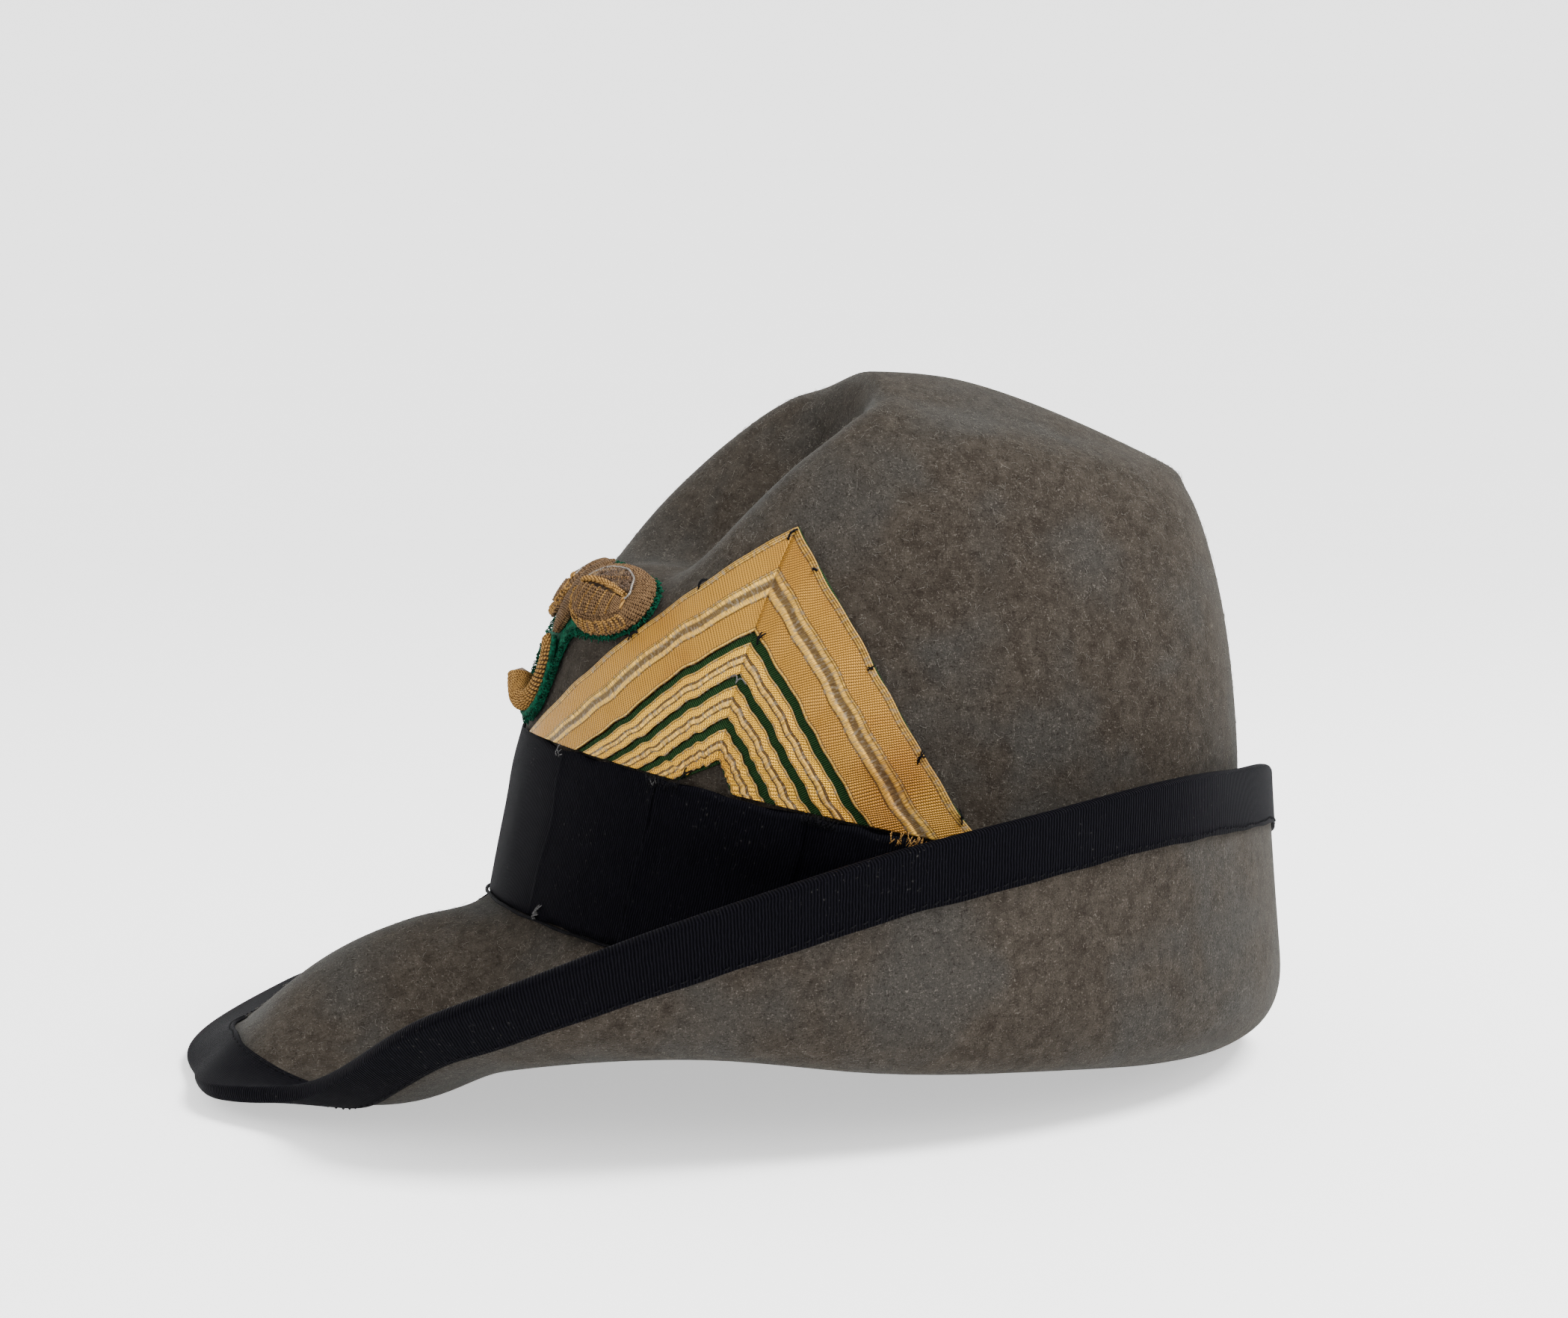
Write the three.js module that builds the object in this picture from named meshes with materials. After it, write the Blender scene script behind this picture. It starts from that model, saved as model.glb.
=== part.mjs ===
import * as THREE from 'three';

// Sizes are in millimetres and angles in degrees.
// The hat's front faces -Y, its wearer's left is +X, up is +Z, and the table is at Z = 0.
// Azimuth is counted from the front towards the wearer's left.

// Cloth thicknesses and the gap left between two pieces
const FELT = 2.2;
const RIBBON = 0.7;
const BACKING = 0.5;
const LACE = 0.8;
const GAP = 0.3;

// The oval where the brim leaves the crown, tilted with the front higher
const BREAK_TILT = 12.96;
const BREAK_HEIGHT = 24.57;
const HALF_WIDTH = 83.7;
const HALF_LENGTH = 93.0;

// Moves the finished hat so that its box is centred on the origin
const CENTRE_X = 10.59;
const CENTRE_Y = 25.08;

// Crown rings square to the tilt: height above the break, half width, front reach, rear reach
const CROWN_RINGS = [
  [0, 83.7, 93, 93],
  [24, 84.5, 93, 100.5],
  [41, 88, 93.5, 102.5],
  [70.5, 83.8, 91.6, 99.4],
  [102, 76.4, 81.2, 90.3],
  [127, 65.3, 67.8, 80.1],
  [145.5, 50.7, 55.9, 68.9],
  [152.8, 32.3, 46.8, 57],
  [161.5, 0, 0, 0],
];

// Crease pressed into the top and front: depth, half width, where it ends and how long it fades
const CREASE = {
  depth: 30.6,
  half: 27.7,
  rear: -23.6,
  rearFade: 25.2,
  front: -88.8,
  frontFade: 21.8,
  lean: 34,
  low: 60,
  lowFade: 40,
};

// Brim sections every 20 degrees of azimuth:
// width, angle at the crown, angle at the edge, start of the bend, length of the bend
const BRIM_SECTIONS = [
  [91.3, -14.7, -41.6, 17.7, 53.6],
  [92.7, -54.2, 17.2, 11.5, 84.1],
  [93.4, -30.1, 62.2, 16.5, 97],
  [94.1, -21.2, 71.8, 15.5, 71.9],
  [97.9, -20.9, 83.5, 15.9, 48.5],
  [98.7, -21.6, 87.4, 6.2, 49.3],
  [99.7, -14.5, 88.4, 3.3, 45.7],
  [99.3, -7.1, 95, 2.5, 49.4],
  [99.7, -8.5, 95, 3.3, 48.3],
  [99.2, -27.5, 90, 5, 42],
  [99.7, -8.5, 95, 3.3, 48.3],
  [99.3, -7.1, 95, 2.5, 49.4],
  [99.7, -14.5, 88.4, 3.3, 45.7],
  [97.4, -27.2, 76.5, 9.5, 51.8],
  [95.6, -37.3, 51.2, 16.9, 63.7],
  [94.4, -40.8, 12, 18.1, 73.3],
  [91, -44.9, -8.6, 7.7, 65.4],
  [91.2, -38.3, -18.3, 11.9, 65.9],
];

// Mesh of the felt: columns round the hat and rows of the brim
const COLUMNS = 50;
const BRIM_ROWS = 11;
const FRONT_CROWDING = 14;

// Width of each leg of the ribbon folded over the brim's edge
const BINDING_LEG = 15;
const BINDING_GAP = 0.4;
const BINDING_TURNED = [4, 5, 6, 11, 12, 13, 14];

// Rows of the crown as heights above the break, of which the first ones are also the band's
const BAND_ROWS = [1.5, 11, 21, 30, 38, 46];
const UPPER_ROWS = [55, 65, 76, 88, 100, 111.5, 122, 131.5, 140, 147, 152, 157];

// Flat bow on the wearer's left: start azimuth, end azimuth, thickness
const BOW_PIECES = [
  ['bow_front_loop', 16.8, 39.4, 0.7],
  ['bow_knot', 39.7, 64.6, 1.1],
  ['bow_rear_loop', 64.9, 82.5, 0.7],
];

// Chevron outlines as azimuth and height above the break, from the point down to the band
const CHEVRON_REAR_EDGE = [
  [47.9, 115.1],
  [57.5, 103.7],
  [65.7, 92.3],
  [72.6, 81],
  [79, 69.6],
  [85.3, 58.2],
  [92.7, 46.8],
];
const CHEVRON_FRONT_EDGE = [
  [47.9, 115.1],
  [39.5, 103.7],
  [31.9, 92.3],
  [25.8, 81],
  [19.4, 69.6],
  [11.8, 58.2],
  [1.9, 46.8],
];
const CHEVRON_CLEAR = 0.7;
const CHEVRON_INNER_POINT = [49.3, 53.6];
const CHEVRON_INNER_REAR = [52.2, 46.8];
const CHEVRON_INNER_FRONT = [42.6, 46.8];

// Laces across the chevron: start and end as a share of its width, and whether the lace is wide
const LACES = [
  ['chevron_lace_wide', 0.01, 0.455],
  ['chevron_lace_outer', 0.5, 0.635],
  ['chevron_lace_middle', 0.68, 0.815],
  ['chevron_lace_inner', 0.86, 0.99],
];

// Badge centre as azimuth and height, and how many millimetres one degree is there
const BADGE_AZIMUTH = -0.5;
const BADGE_HEIGHT = 72;
const BADGE_DEGREE = 1.4;
const BADGE_CLEAR = 0.8;
const BADGE_RISE = 4.2;
const BADGE_FLAT_RISE = 1.3;

const felt = new THREE.MeshStandardMaterial({ color: 0x554f48, roughness: 0.95, metalness: 0 });
const ribbon = new THREE.MeshStandardMaterial({ color: 0x141418, roughness: 0.8, metalness: 0 });
const greenCloth = new THREE.MeshStandardMaterial({ color: 0x1d3520, roughness: 0.9, metalness: 0 });
const goldLace = new THREE.MeshStandardMaterial({ color: 0xb48f5a, roughness: 0.5, metalness: 0.5 });
const tealCloth = new THREE.MeshStandardMaterial({ color: 0x0f6a45, roughness: 0.9, metalness: 0 });
const bullion = new THREE.MeshStandardMaterial({ color: 0x7f664d, roughness: 0.55, metalness: 0.5 });

const group = new THREE.Group();
group.name = 'alpine_hat';

function ease(t) {
  const u = THREE.MathUtils.clamp(t, 0, 1);
  return u * u * (3 - 2 * u);
}

function cosine(degrees) {
  return Math.cos(THREE.MathUtils.degToRad(degrees));
}

function sine(degrees) {
  return Math.sin(THREE.MathUtils.degToRad(degrees));
}

// Smooth curve through four evenly spaced rows, between the second and the third.
function between(a, b, c, d, f) {
  const g = f * f;
  const h = g * f;
  return b.map((value, k) => value
    + 0.5 * (c[k] - a[k]) * f
    + 0.5 * (2 * a[k] - 5 * value + 4 * c[k] - d[k]) * g
    + 0.5 * (3 * value - a[k] - 3 * c[k] + d[k]) * h);
}

// Crown ring at t, from 0 at the break to 1 at the top. Past the top the rings open again.
function ringAt(t) {
  const last = CROWN_RINGS.length - 1;
  const k = THREE.MathUtils.clamp(t, 0, 1) * last;
  const i = Math.min(Math.floor(k), last - 1);
  const first = CROWN_RINGS[0].map((value, n) => 2 * value - CROWN_RINGS[1][n]);
  const mirrored = CROWN_RINGS[last - 1].map((value, n) => (n === 0 ? value : -value));
  const rows = [first, ...CROWN_RINGS, mirrored];
  return between(rows[i], rows[i + 1], rows[i + 2], rows[i + 3], k - i);
}

// The t of a height above the break, found by halving.
function levelOf(height) {
  let low = 0;
  let high = 1;
  for (let n = 0; n < 30; n += 1) {
    const middle = (low + high) / 2;
    if (ringAt(middle)[0] < height) low = middle;
    else high = middle;
  }
  return (low + high) / 2;
}

function tilted(x, y, z) {
  const c = cosine(BREAK_TILT);
  const s = sine(BREAK_TILT);
  return new THREE.Vector3(x, y * c + z * s, BREAK_HEIGHT - y * s + z * c);
}

function crownPoint(azimuth, t) {
  const [height, half, front, rear] = ringAt(t);
  const c = cosine(azimuth);
  const x = half * sine(azimuth);
  const y = c > 0 ? -front * c : -rear * c;
  const across = Math.exp(-((Math.abs(x) / CREASE.half) ** 2.6));
  const along = ease((CREASE.rear - y) / CREASE.rearFade) * ease((y - CREASE.front) / CREASE.frontFade);
  const press = CREASE.depth * across * along * ease((height - CREASE.low) / CREASE.lowFade);
  return tilted(x, y + press * sine(CREASE.lean), height - press * cosine(CREASE.lean));
}

function brimSection(azimuth) {
  const count = BRIM_SECTIONS.length;
  const k = (((azimuth % 360) + 360) % 360) * count / 360;
  const i = Math.floor(k);
  const row = (n) => BRIM_SECTIONS[(i + n + count) % count];
  return between(row(-1), row(0), row(1), row(2), k - i);
}

// Brim point at v, from 0 at the break to 1 at the edge: its direction turns along its width.
function brimPoint(azimuth, v) {
  const [width, fromAngle, toAngle, bendStart, bendLength] = brimSection(azimuth);
  const start = tilted(HALF_WIDTH * sine(azimuth), -HALF_LENGTH * cosine(azimuth), 0);
  const out = new THREE.Vector2(sine(azimuth) / HALF_WIDTH, -cosine(azimuth) / HALF_LENGTH).normalize();
  const steps = 40;
  const step = v * width / steps;
  let reach = 0;
  let rise = 0;
  for (let n = 0; n < steps; n += 1) {
    const angle = fromAngle + (toAngle - fromAngle) * ease(((n + 0.5) * step - bendStart) / bendLength);
    reach += cosine(angle) * step;
    rise += sine(angle) * step;
  }
  return new THREE.Vector3(start.x + out.x * reach, start.y + out.y * reach, start.z + rise);
}

// The felt as one sheet: s is 0 at the top of the crown, 1 at the break and 2 at the brim's edge.
function sheetPoint(azimuth, s) {
  return s <= 1 ? crownPoint(azimuth, 1 - s) : brimPoint(azimuth, Math.min(s - 1, 1));
}

function sheetNormal(azimuth, s) {
  const near = Math.max(s, 0.02);
  const high = Math.min(near + 0.008, 2);
  const low = near - 0.008;
  const round = sheetPoint(azimuth + 0.6, near).sub(sheetPoint(azimuth - 0.6, near));
  const down = sheetPoint(azimuth, high).sub(sheetPoint(azimuth, low));
  return down.cross(round).normalize();
}

// Distance from the sheet to the felt's outer face: none on the crown, one thickness on the brim,
// whose lower face is the one that was measured.
function outerLift(s) {
  return FELT * ease((s - 1) / 0.25);
}

// A point at a distance from the felt's outer face, kept on or above the table.
function skin(azimuth, s, distance, reach = 0) {
  const lift = outerLift(s) + distance;
  const point = sheetPoint(azimuth, s).addScaledVector(sheetNormal(azimuth, s), lift);
  if (reach > 0) {
    const along = sheetPoint(azimuth, 2).sub(sheetPoint(azimuth, 1.98)).normalize();
    point.addScaledVector(along, reach);
  }
  return new THREE.Vector3(point.x + CENTRE_X, point.y + CENTRE_Y, Math.max(point.z, 0));
}

function crownSkin(azimuth, height, distance) {
  return skin(azimuth, 1 - levelOf(height), distance);
}

// Closed mesh from a list of points and faces, turned to face outwards, added under its name.
function addSolid(name, points, faces, material) {
  let volume = 0;
  for (const [a, b, c] of faces) {
    volume += points[a].dot(new THREE.Vector3().crossVectors(points[b], points[c]));
  }
  const index = volume > 0 ? faces.flat() : faces.flatMap(([a, b, c]) => [a, c, b]);
  const geometry = new THREE.BufferGeometry();
  geometry.setAttribute('position', new THREE.Float32BufferAttribute(points.flatMap((p) => p.toArray()), 3));
  geometry.setIndex(index);
  geometry.computeVertexNormals();
  const mesh = new THREE.Mesh(geometry, material);
  mesh.name = name;
  group.add(mesh);
}

function quad(a, b, c, d) {
  return [[a, b, c], [a, c, d]];
}

// Azimuths of the columns, closer together at the front.
function columnAzimuths() {
  return Array.from({ length: COLUMNS }, (_, k) => {
    const turn = 360 * k / COLUMNS;
    return turn - FRONT_CROWDING * sine(turn);
  });
}

// A closed loop of cross-sections: every section has the same number of points and joins the next.
// Squares in the turned list are cut along their other diagonal, to lie flat on the felt's.
function addLoop(name, sections, turned, material) {
  const size = sections[0].length;
  const faces = [];
  sections.forEach((_, i) => {
    const next = (i + 1) % sections.length;
    for (let j = 0; j < size; j += 1) {
      const k = (j + 1) % size;
      if (turned.includes(j)) {
        faces.push(...quad(i * size + k, next * size + k, next * size + j, i * size + j));
      } else {
        faces.push(...quad(i * size + j, i * size + k, next * size + k, next * size + j));
      }
    }
  });
  addSolid(name, sections.flat(), faces, material);
}

// A sheet with two faces of rows and columns, joined round its four sides.
function addPatch(name, outer, inner, material) {
  const rows = outer.length;
  const cols = outer[0].length;
  const faces = [];
  const top = (i, j) => i * cols + j;
  const under = (i, j) => rows * cols + i * cols + j;
  for (let i = 0; i < rows - 1; i += 1) {
    for (let j = 0; j < cols - 1; j += 1) {
      faces.push(...quad(top(i, j), top(i, j + 1), top(i + 1, j + 1), top(i + 1, j)));
      faces.push(...quad(under(i, j), under(i + 1, j), under(i + 1, j + 1), under(i, j + 1)));
    }
  }
  for (let j = 0; j < cols - 1; j += 1) {
    faces.push(...quad(top(0, j + 1), top(0, j), under(0, j), under(0, j + 1)));
    faces.push(...quad(top(rows - 1, j), top(rows - 1, j + 1), under(rows - 1, j + 1), under(rows - 1, j)));
  }
  for (let i = 0; i < rows - 1; i += 1) {
    faces.push(...quad(top(i, 0), top(i + 1, 0), under(i + 1, 0), under(i, 0)));
    faces.push(...quad(top(i + 1, cols - 1), top(i, cols - 1), under(i, cols - 1), under(i + 1, cols - 1)));
  }
  addSolid(name, [...outer.flat(), ...inner.flat()], faces, material);
}

// Crown and brim: an outer and an inner face, each closed at the top of the crown.
function addFelt() {
  const azimuths = columnAzimuths();
  const heights = [...UPPER_ROWS].reverse().concat([...BAND_ROWS].reverse(), 0);
  const crown = heights.map((height) => 1 - levelOf(height));
  const levels = azimuths.map((a) => [...crown, ...brimLevels(a)]);
  const rows = levels[0].length;
  const face = (distance) => Array.from({ length: rows }, (_, i) => (
    azimuths.map((a, j) => skin(a, levels[j][i], distance))
  )).flat();
  const peak = (distance) => {
    const point = sheetPoint(0, 0);
    return new THREE.Vector3(point.x + CENTRE_X, point.y + CENTRE_Y, point.z + distance);
  };
  const count = rows * COLUMNS;
  const points = [...face(0), ...face(-FELT), peak(0), peak(-FELT)];
  const faces = [];
  for (let j = 0; j < COLUMNS; j += 1) {
    const k = (j + 1) % COLUMNS;
    faces.push([2 * count, j, k]);
    faces.push([2 * count + 1, count + k, count + j]);
    for (let i = 0; i < rows - 1; i += 1) {
      const a = i * COLUMNS;
      const b = a + COLUMNS;
      faces.push(...quad(a + j, b + j, b + k, a + k));
      faces.push(...quad(count + a + j, count + a + k, count + b + k, count + b + j));
    }
    const edge = count - COLUMNS;
    faces.push(...quad(edge + j, count + edge + j, count + edge + k, edge + k));
  }
  addSolid('felt_body', points, faces, felt);
}

// Places across a brim section: evenly spaced to the ribbon's leg, then two steps to the edge.
function brimLevels(azimuth) {
  const leg = BINDING_LEG / brimSection(azimuth)[0];
  const levels = [];
  for (let i = 1; i <= BRIM_ROWS - 2; i += 1) levels.push(1 + (1 - leg) * i / (BRIM_ROWS - 2));
  return [...levels, 2 - leg / 2, 2];
}

// Ribbon folded over the brim's edge, one leg on each face.
function bindingSection(azimuth) {
  const legs = brimLevels(azimuth).slice(-3);
  const back = [...legs].reverse();
  const far = BINDING_GAP + RIBBON;
  return [
    ...legs.map((s) => skin(azimuth, s, far)),
    skin(azimuth, 2, BINDING_GAP, far),
    skin(azimuth, 2, -FELT - BINDING_GAP, far),
    ...back.map((s) => skin(azimuth, s, -FELT - far)),
    ...legs.map((s) => skin(azimuth, s, -FELT - BINDING_GAP)),
    skin(azimuth, 2, -FELT / 2, BINDING_GAP),
    ...back.map((s) => skin(azimuth, s, BINDING_GAP)),
  ];
}

function addBand() {
  const sections = columnAzimuths().map((a) => [
    ...BAND_ROWS.map((h) => crownSkin(a, h, GAP + RIBBON)),
    ...[...BAND_ROWS].reverse().map((h) => crownSkin(a, h, GAP)),
  ]);
  addLoop('hat_band', sections, [], ribbon);
}

function addBow() {
  const under = GAP + RIBBON + GAP;
  for (const [name, from, to, thickness] of BOW_PIECES) {
    const azimuths = Array.from({ length: 6 }, (_, k) => from + (to - from) * k / 5);
    const face = (distance) => BAND_ROWS.map((h) => azimuths.map((a) => crownSkin(a, h, distance)));
    addPatch(name, face(under + thickness), face(under), ribbon);
  }
}

function mix(a, b, f) {
  return a.map((value, k) => value + (b[k] - value) * f);
}

// Point of one chevron arm: share of the way down the arm and share of its width.
function armPoint(edge, innerEnd, down, across) {
  const last = edge.length - 1;
  const i = Math.min(Math.floor(down * last), last - 1);
  const outer = mix(edge[i], edge[i + 1], down * last - i);
  const inner = mix(CHEVRON_INNER_POINT, innerEnd, down);
  return mix(outer, inner, across);
}

// A strip of the chevron between two shares of its width, over both arms.
function addChevronStrip(name, from, to, rows, low, high, material) {
  const steps = 8;
  const shares = Array.from({ length: rows }, (_, k) => from + (to - from) * k / (rows - 1));
  const path = [];
  for (let k = steps; k > 0; k -= 1) path.push([CHEVRON_FRONT_EDGE, CHEVRON_INNER_FRONT, k / steps]);
  for (let k = 0; k <= steps; k += 1) path.push([CHEVRON_REAR_EDGE, CHEVRON_INNER_REAR, k / steps]);
  const face = (distance) => shares.map((share) => path.map(([edge, innerEnd, down]) => {
    const [azimuth, height] = armPoint(edge, innerEnd, down, share);
    return crownSkin(azimuth, height, distance);
  }));
  addPatch(name, face(high), face(low), material);
}

function addChevron() {
  addChevronStrip('chevron_backing', 0, 1, 7, CHEVRON_CLEAR, CHEVRON_CLEAR + BACKING, greenCloth);
  const low = CHEVRON_CLEAR + BACKING + GAP;
  for (const [name, from, to] of LACES) {
    addChevronStrip(name, from, to, name === 'chevron_lace_wide' ? 4 : 2, low, low + LACE, goldLace);
  }
}

// A padded shape on the crown's front: an outline round a centre, in millimetres across and up.
// Its face rises from the rim to the middle.
function addPad(name, centre, outline, rings, low, rim, rise, material) {
  const count = outline.length;
  const place = (across, up, distance) => crownSkin(
    BADGE_AZIMUTH + across / BADGE_DEGREE,
    BADGE_HEIGHT + up,
    distance,
  );
  const at = (share, k, distance) => place(
    centre[0] + outline[k][0] * share,
    centre[1] + outline[k][1] * share,
    distance,
  );
  const points = [];
  for (const share of rings) {
    for (let k = 0; k < count; k += 1) {
      points.push(at(share, k, low + rim + rise * Math.sqrt(Math.max(0, 1 - share * share))));
    }
  }
  for (const share of rings) {
    for (let k = 0; k < count; k += 1) points.push(at(share, k, low));
  }
  points.push(place(centre[0], centre[1], low + rim + rise));
  points.push(place(centre[0], centre[1], low));
  const size = rings.length * count;
  const faces = [];
  for (let k = 0; k < count; k += 1) {
    const n = (k + 1) % count;
    faces.push([2 * size, k, n]);
    faces.push([2 * size + 1, size + n, size + k]);
    for (let i = 0; i < rings.length - 1; i += 1) {
      const a = i * count;
      const b = a + count;
      faces.push(...quad(a + k, b + k, b + n, a + n));
      faces.push(...quad(size + a + k, size + a + n, size + b + n, size + b + k));
    }
    const edge = size - count;
    faces.push(...quad(edge + k, size + edge + k, size + edge + n, edge + n));
  }
  addSolid(name, points, faces, material);
}

function oval(halfWidth, halfHeight, count) {
  return Array.from({ length: count }, (_, k) => {
    const turn = 360 * k / count;
    return [halfWidth * cosine(turn), halfHeight * sine(turn)];
  });
}

// Horn below the bird: a tapering curved tube flattened against the backing.
function addHorn(low) {
  const sections = [];
  for (let k = 0; k <= 10; k += 1) {
    const turn = 70 - 230 * k / 10;
    const radius = 1.4 + 2.2 * (k / 10) ** 2;
    const centre = [-4.5 + 8.6 * cosine(turn), -9.6 + 8.6 * sine(turn)];
    sections.push(Array.from({ length: 8 }, (_, n) => {
      const round = 360 * n / 8;
      const out = radius * cosine(round);
      return crownSkin(
        BADGE_AZIMUTH + (centre[0] + out * cosine(turn)) / BADGE_DEGREE,
        BADGE_HEIGHT + centre[1] + out * sine(turn),
        low + radius * 0.9 * (1 + sine(round)),
      );
    }));
  }
  const last = 8 * 10;
  const faces = [];
  for (let i = 0; i < 10; i += 1) {
    for (let n = 0; n < 8; n += 1) {
      const k = (n + 1) % 8;
      faces.push(...quad(i * 8 + n, i * 8 + k, i * 8 + 8 + k, i * 8 + 8 + n));
    }
  }
  for (let n = 1; n < 7; n += 1) {
    faces.push([0, n + 1, n]);
    faces.push([last, last + n, last + n + 1]);
  }
  addSolid('badge_horn', sections.flat(), faces, bullion);
}

function addBadge() {
  const outline = [
    [0, 21.5], [10, 21.5], [22, 21.3], [31, 19], [35.9, 14.6], [36.5, 9], [33.8, 4.4], [28, 0.3],
    [21, -1.1], [14.5, -1.1], [10, -2.5], [8.7, -7], [8.5, -12], [7.4, -17.3], [5, -22.6], [0.3, -26],
    [-5, -27], [-10.5, -25.6], [-14.6, -22], [-16.6, -16.5], [-17, -11], [-19, -5.5], [-28, 0.3],
    [-33.8, 4.4], [-36.5, 9], [-35.9, 14.6], [-31, 19], [-22, 21.3], [-10, 21.5],
  ];
  addPad('badge_backing', [0, 4], outline, [0.25, 0.5, 0.75, 1], BADGE_CLEAR, BACKING, 0, tealCloth);
  const low = BADGE_CLEAR + BACKING + 2 * GAP;
  const rings = [0.4, 0.75, 1];
  addPad('badge_left_wing', [20.6, 14.5], oval(15.2, 10.4, 20), rings, low, 1, BADGE_RISE, bullion);
  addPad('badge_right_wing', [-20.6, 14.5], oval(15.2, 10.4, 20), rings, low, 0.8, BADGE_FLAT_RISE, bullion);
  addPad('badge_bird', [0, 13.2], oval(4.9, 12.2, 16), rings, low, 0.8, BADGE_FLAT_RISE, bullion);
  addHorn(low);
}

addFelt();
addLoop('brim_binding', columnAzimuths().map(bindingSection), BINDING_TURNED, ribbon);
addBand();
addBow();
addChevron();
addBadge();

export default group;
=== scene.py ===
"""Felt alpine hat: the visual model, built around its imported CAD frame.

Shapes are worked out in millimetres and become metres when a mesh is made. The hat's
front faces -Y and its wearer's left is +X. Azimuth is counted in degrees from the front
towards the wearer's left. On the felt, s is 0 at the top of the crown, 1 at the break
where the brim starts, and 2 at the brim's edge.
"""

import logging
import math
from dataclasses import dataclass, field
from enum import Enum

import bpy
import numpy as np
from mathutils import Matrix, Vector

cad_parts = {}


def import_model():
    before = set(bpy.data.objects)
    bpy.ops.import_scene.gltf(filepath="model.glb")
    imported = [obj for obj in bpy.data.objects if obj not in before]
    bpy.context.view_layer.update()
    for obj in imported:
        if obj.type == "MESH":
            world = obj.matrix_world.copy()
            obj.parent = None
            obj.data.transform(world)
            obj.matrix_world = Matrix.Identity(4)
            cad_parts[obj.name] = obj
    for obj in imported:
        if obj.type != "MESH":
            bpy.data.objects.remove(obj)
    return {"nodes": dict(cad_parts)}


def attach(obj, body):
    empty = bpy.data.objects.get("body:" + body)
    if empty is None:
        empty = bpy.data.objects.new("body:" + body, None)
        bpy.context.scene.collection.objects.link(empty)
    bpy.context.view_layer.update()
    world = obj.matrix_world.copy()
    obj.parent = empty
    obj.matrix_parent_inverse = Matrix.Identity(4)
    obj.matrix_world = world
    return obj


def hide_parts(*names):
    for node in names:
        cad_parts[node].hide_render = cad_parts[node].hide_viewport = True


Array = np.ndarray
Colour = tuple[float, float, float, float]
MILLIMETRE = 0.001
BODY = "root"
log = logging.getLogger("felt_hat")


# Curves and noise shared by the shapes


def ease(t: Array) -> Array:
    """Smooth step: three t squared less two t cubed, held at 0 and 1 outside."""
    u = np.clip(t, 0.0, 1.0)
    return u * u * (3.0 - 2.0 * u)


def through(rows: Array, place: Array) -> Array:
    """Smooth curve through evenly spaced rows of numbers.

    Between two rows it is the cubic whose slope at each row is half the difference of
    the rows on either side of it.

    Args:
        rows: table of shape (n, k), with one extra row before and after the used ones.
        place: positions counted in rows, from 1 to n - 2.

    Returns:
        The k numbers at each position.
    """
    i = np.clip(np.floor(place).astype(int), 1, len(rows) - 3)
    f = (place - i)[..., None]
    a, b, c, d = rows[i - 1], rows[i], rows[i + 1], rows[i + 2]
    slope = 0.5 * (c - a) * f
    bend = 0.5 * (2 * a - 5 * b + 4 * c - d) * f**2
    return b + slope + bend + 0.5 * (3 * b - a - 3 * c + d) * f**3


def unit(vectors: Array) -> Array:
    """Vectors divided by their length."""
    return vectors / np.maximum(np.linalg.norm(vectors, axis=-1, keepdims=True), 1e-9)


def waver(place: Array, seed: int, waves: tuple[int, ...], turn: float = 360.0) -> Array:
    """Uneven line between about -1 and 1: a mean of sines with seeded phases.

    Args:
        place: positions along the line.
        seed: picks the phases.
        waves: whole numbers of waves in one turn, so that the line closes on itself.
        turn: length of one turn.

    Returns:
        The height of the line at each position.
    """
    phases = np.random.default_rng(seed).uniform(0, 2 * np.pi, len(waves))
    angle = 2 * np.pi * np.asarray(place) / turn
    total = sum(np.sin(n * angle + p) for n, p in zip(waves, phases))
    return total / math.sqrt(len(waves))


def lengths_round(line: Array) -> Array:
    """Distances of a closed line's points from its first one, with the whole length last.

    Args:
        line: the line's points, one in each row.

    Returns:
        One distance for each point, and the length of the whole line.
    """
    step = np.linalg.norm(np.diff(np.vstack([line, line[:1]]), axis=0), axis=1)
    return np.concatenate([[0], np.cumsum(step)])


# Mesh building


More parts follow.
